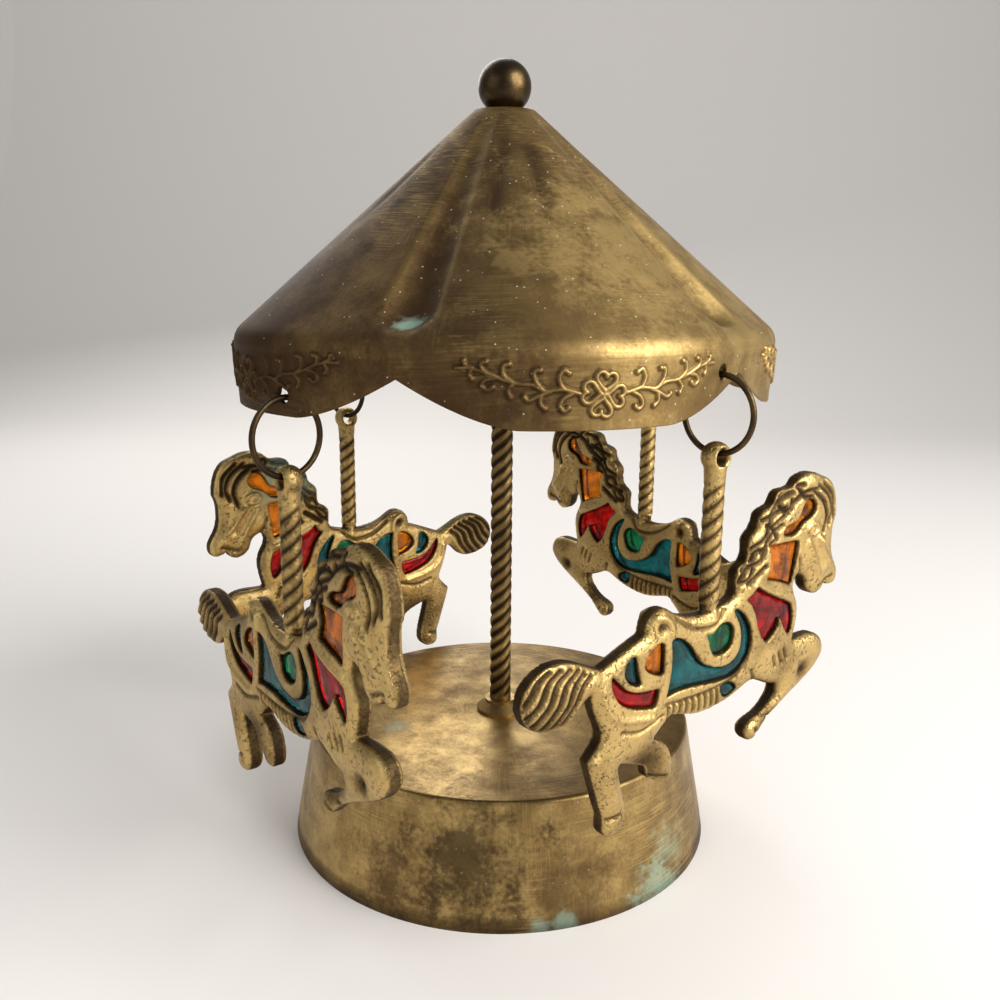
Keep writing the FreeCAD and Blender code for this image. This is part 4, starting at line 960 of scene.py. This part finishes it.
def carving_height(points):
    """Height of the carving over a horse's face, at (forward, up) points."""
    starts = FRINGE["start"] + FRINGE["step"] * np.arange(FRINGE["ribs"])
    ribs = [((start, FRINGE["top"]), (start + FRINGE["lean"], FRINGE["foot"])) for start in starts]
    height = np.zeros(len(points))
    for curves, width, rise in (*STROKES, (ribs, *FRINGE_STROKE)):
        height += stroke_height(points, curves, width, rise)
    for (forward, up), radius, rise in DIMPLES:
        away = np.hypot(points[:, 0] + CARVING_DATUM - forward, points[:, 1] - up)
        height += rise * np.exp(-(away / radius) ** 2)
    forward, up = EYE["place"]
    along = (points[:, 0] + CARVING_DATUM - forward) / EYE["long"]
    oval = np.hypot(along, (points[:, 1] - up) / EYE["short"])
    return height + EYE["rise"] * np.exp(-((oval - 1.0) / EYE["width"]) ** 2)


def window_walls(place):
    """Where the resin pieces meet the casting."""
    found = []
    for name in COLOURS:
        points, _, normals = remeshed(f"horse_1_{name}_glass", place)
        found.append(side_walls(points, normals))
    return np.vstack(found)


def carve_plate(points, normals, on_pole, windows):
    """Round and carve the flat casting in place; returns its relief."""
    flat = points[:, [0, 2]]
    walls = side_walls(points[~on_pole], normals[~on_pole])
    to_window = distances(flat, windows)
    to_edge = distances(flat, walls[distances(walls, windows) > 2 * millimetres("voxel")])
    lost = np.clip(1 - to_edge / millimetres("edge"), 0.0, 1.0)
    half = EDGE_HALF + (HALF_PLATE - EDGE_HALF) * np.sqrt(1 - lost ** 2)
    points[:, 1] *= np.where(on_pole, 1.0, half / HALF_PLATE)
    facing = smooth_steps(np.abs(normals[:, 1]), *FACING) * ~on_pole
    rim = np.clip(1 - to_window / WINDOW_RIM, 0.0, 1.0) ** 2
    carving = bpy.context.scene.music_box_shape.carving * carving_height(flat)
    carving *= smooth_steps(to_edge, 0.0, CARVING_MARGIN)
    swell = FACE_SWELL * smooth_steps(to_edge, *SWELL_FROM_EDGE)
    points[:, 1] += np.sign(points[:, 1]) * facing * (swell + carving - WINDOW_SINK * rim)
    return facing * (0.3 + 1.3 * carving - 0.5 * rim) - 0.6 * (1 - facing)


def twist_bar(points, on_pole):
    """Twist the round bar above the casting in place; returns its groove."""
    pole = HORSE_POLE
    height = points[:, 2]
    angle = np.arctan2(points[:, 1], points[:, 0])
    along = smooth_steps(height, *pole["foot"]) * (1 - smooth_steps(height, *pole["head"]))
    bar = on_pole & (np.hypot(points[:, 0], points[:, 1]) < pole["radius"] + pole["slack"])
    groove = twist_depth(angle, height, pole["starts"], pole["lead"]) * along * bar
    points[:, :2] *= (1 - pole["share"] * millimetres("twist") * groove / pole["radius"])[:, None]
    return groove


def carved_horse():
    """A horse in its own frame: points, faces and relief."""
    place = horse_place(RING_AZIMUTHS[0])
    points, faces, normals = remeshed("horse_1", place)
    on_pole = (np.abs(points[:, 0]) < HORSE_POLE["band"]) & (points[:, 2] > HORSE_POLE["foot"][0])
    relief = carve_plate(points, normals, on_pole, window_walls(place))
    groove = twist_bar(points, on_pole)
    return points, faces, np.where(on_pole, 0.25 - 1.1 * groove, relief)


class MUSICBOX_OT_horses(bpy.types.Operator):
    """Build the four carved horses"""

    bl_idname = "musicbox.horses"
    bl_label = "Horses"

    def execute(self, context):
        points, faces, relief = carved_horse()
        for number, azimuth in enumerate(RING_AZIMUTHS, start=1):
            place = horse_place(azimuth)
            stains = [(place @ Vector(MANE_STAIN), 12, "verdigris", 0.65)] if number == STAINED_MANE else []
            stains.append((place @ Vector(RUMP_STAIN), 6, "umber", 0.4))
            brass = aged_metal(f"horse_{number}_brass", 0.42, spots=stains, cast=0.65)
            piece = new_piece(f"carved_horse_{number}", own_points(place, points), faces, relief, brass)
            settle(piece, f"horse_{number}", "aged_brass", f"horse_{number}")
        return {"FINISHED"}


class MUSICBOX_OT_inlays(bpy.types.Operator):
    """Build the domed resin pieces set in the horses"""

    bl_idname = "musicbox.inlays"
    bl_label = "Inlays"

    def execute(self, context):
        for name in COLOURS:
            material = resin(f"{name}_resin", colour(name))
            points, faces, normals = remeshed(f"horse_1_{name}_glass", horse_place(RING_AZIMUTHS[0]))
            away = distances(points[:, [0, 2]], side_walls(points, normals))
            facing = smooth_steps(np.abs(normals[:, 1]), *FACING)
            rise = millimetres("dome") * (1 - np.exp(-away / DOME_SPREAD))
            points[:, 1] += np.sign(points[:, 1]) * facing * rise
            relief = np.zeros(len(points))
            for number, azimuth in enumerate(RING_AZIMUTHS, start=1):
                placed = own_points(horse_place(azimuth), points)
                piece = new_piece(f"horse_{number}_{name}_inlay", placed, faces, relief, material)
                settle(piece, f"horse_{number}", f"{name}_resin", f"horse_{number}_{name}_glass")
        return {"FINISHED"}


class MUSICBOX_OT_metalwork(bpy.types.Operator):
    """Finish the bush, the ball, the rings and the movement"""

    bl_idname = "musicbox.metalwork"
    bl_label = "Metalwork"

    def execute(self, context):
        finishes = {
            "aged_brass": aged_metal("bush_brass", 0.25),
            "dark_brass": aged_metal("ball_brass", 0.95, polish=0.2),
            "movement_brass": plain_metal("movement_brass", colour("fresh"), 0.3),
            "steel": plain_metal("bright_steel", colour("steel"), 0.25),
            "dark_steel": aged_metal("ring_brass", 0.95, polish=0.1),
        }
        replaced = {"canopy", "base_shell", "centre_pole"}
        for entry in frame["record"]["subparts"]:
            node = entry["node"]
            finish = finishes.get(entry["material_slot"])
            if finish is None or node in replaced or node.startswith("horse_"):
                continue
            for slot in frame["nodes"][node].material_slots:
                slot.material = finish
        return {"FINISHED"}


def set_camera(scene):
    """The camera, turned by its yaw, pitch and slight roll."""
    data = bpy.data.cameras.new("camera")
    data.lens = CAMERA["lens"]
    data.sensor_width = CAMERA["sensor"]
    data.clip_start = CAMERA["near"]
    camera = bpy.data.objects.new("camera", data)
    turned = Matrix.Rotation(math.radians(90.0 - CAMERA["pitch"]), 4, "X")
    turned = Matrix.Rotation(-CAMERA["yaw"], 4, "Z") @ turned
    turned = turned @ Matrix.Rotation(math.radians(CAMERA["roll"]), 4, "Z")
    camera.matrix_world = Matrix.Translation(Vector(CAMERA["place"]) * MM) @ turned
    scene.collection.objects.link(camera)
    scene.camera = camera


def soft_light(name, place, size, power):
    """A square lamp turned to the middle of the piece."""
    data = bpy.data.lights.new(name, "AREA")
    data.size = size
    data.energy = power
    lamp = bpy.data.objects.new(name, data)
    spot = Vector(place)
    turned = (Vector(LAMP_TARGET) - spot).to_track_quat("-Z", "Y").to_matrix().to_4x4()
    lamp.matrix_world = Matrix.Translation(spot) @ turned
    bpy.context.scene.collection.objects.link(lamp)


def floor_section():
    """The floor's upward curve and wall: (outward, up) from where the curve starts."""
    turns = np.linspace(0.0, math.pi / 2, CURVE_STEPS)
    section = [(FLOOR_CURVE * math.sin(turn), FLOOR_CURVE * (1 - math.cos(turn))) for turn in turns]
    return section + [(FLOOR_CURVE, WALL_TOP)]


def floor_paint():
    material, _, surface, _ = start_material("floor_paint")
    surface.inputs["Base Color"].default_value = FLOOR_COLOUR
    surface.inputs["Roughness"].default_value = FLOOR_ROUGHNESS
    return material


def seamless_floor(paint):
    """A pale floor that curves up behind the piece."""
    section = [(FLOOR_FRONT, 0.0)] + [(FLOOR_HALF + out, up) for out, up in floor_section()]
    points = np.array([(side, depth, up) for depth, up in section for side in (-FLOOR_SIDE, FLOOR_SIDE)])
    faces = grid_faces(len(section), 2, closed=False)
    return new_piece("floor", points / MM, faces, np.zeros(len(points)), paint)


def room_walls(paint):
    """Walls round the other sides, which close the view but let all light through."""
    section = floor_section()
    points = []
    for out, up in section:
        for quarter, (right, back) in enumerate(CORNERS):
            for turn in np.radians(np.linspace(90.0, 0.0, CORNER_STEPS) - 90.0 * quarter):
                across = right * FLOOR_HALF + out * math.cos(turn)
                points.append((across, back * FLOOR_HALF + out * math.sin(turn), up))
    faces = grid_faces(len(section), len(CORNERS) * CORNER_STEPS, closed=False)
    walls = new_piece("room_walls", np.array(points) / MM, faces, np.zeros(len(points)), paint)
    for rays in ("diffuse", "glossy", "transmission", "volume_scatter", "shadow"):
        setattr(walls, "visible_" + rays, False)
    return walls


def set_world(scene):
    """An even grey surround that is seen as white."""
    world = bpy.data.worlds.new("studio")
    world.use_nodes = True
    tree = Tree(world.node_tree)
    rays = tree.add("ShaderNodeLightPath").outputs
    seen = tree.math("MAXIMUM", rays["Is Camera Ray"], rays["Is Transmission Ray"])
    surround = world.node_tree.nodes["Background"]
    tree.feed(surround.inputs["Color"], tree.mix(seen, SURROUND, WHITE))
    surround.inputs["Strength"].default_value = 1.0
    scene.world = world


class MUSICBOX_OT_stage(bpy.types.Operator):
    """Set the floor, the light and the camera"""

    bl_idname = "musicbox.stage"
    bl_label = "Stage"

    def execute(self, context):
        paint = floor_paint()
        seamless_floor(paint)
        room_walls(paint)
        set_world(context.scene)
        for name, place, size, power in LAMPS:
            soft_light(name, place, size, power)
        context.scene.view_settings.view_transform = "Standard"
        set_camera(context.scene)
        return {"FINISHED"}


class MUSICBOX_PT_panel(bpy.types.Panel):
    """Settings and steps of the music box"""

    bl_label = "Music box"
    bl_idname = "MUSICBOX_PT_panel"
    bl_space_type = "VIEW_3D"
    bl_region_type = "UI"
    bl_category = "Music box"

    def draw(self, context):
        for group in (context.scene.music_box_shape, context.scene.music_box_colours):
            for name in group.__annotations__:
                self.layout.prop(group, name)
        for operator in OPERATORS:
            self.layout.operator(operator.bl_idname)


OPERATORS = (MUSICBOX_OT_canopy, MUSICBOX_OT_base, MUSICBOX_OT_pole, MUSICBOX_OT_horses, MUSICBOX_OT_inlays,
             MUSICBOX_OT_metalwork, MUSICBOX_OT_stage)
CLASSES = (MusicBoxShape, MusicBoxColours, *OPERATORS, MUSICBOX_PT_panel)


def register():
    for cls in CLASSES:
        bpy.utils.register_class(cls)
    bpy.types.Scene.music_box_shape = bpy.props.PointerProperty(type=MusicBoxShape)
    bpy.types.Scene.music_box_colours = bpy.props.PointerProperty(type=MusicBoxColours)


def unregister():
    del bpy.types.Scene.music_box_shape
    del bpy.types.Scene.music_box_colours
    for cls in reversed(CLASSES):
        bpy.utils.unregister_class(cls)


def main():
    """Build the whole music box."""
    register()
    bpy.ops.musicbox.canopy()
    bpy.ops.musicbox.base()
    bpy.ops.musicbox.pole()
    bpy.ops.musicbox.horses()
    bpy.ops.musicbox.inlays()
    bpy.ops.musicbox.metalwork()
    bpy.ops.musicbox.stage()


if __name__ == "__main__":
    main()
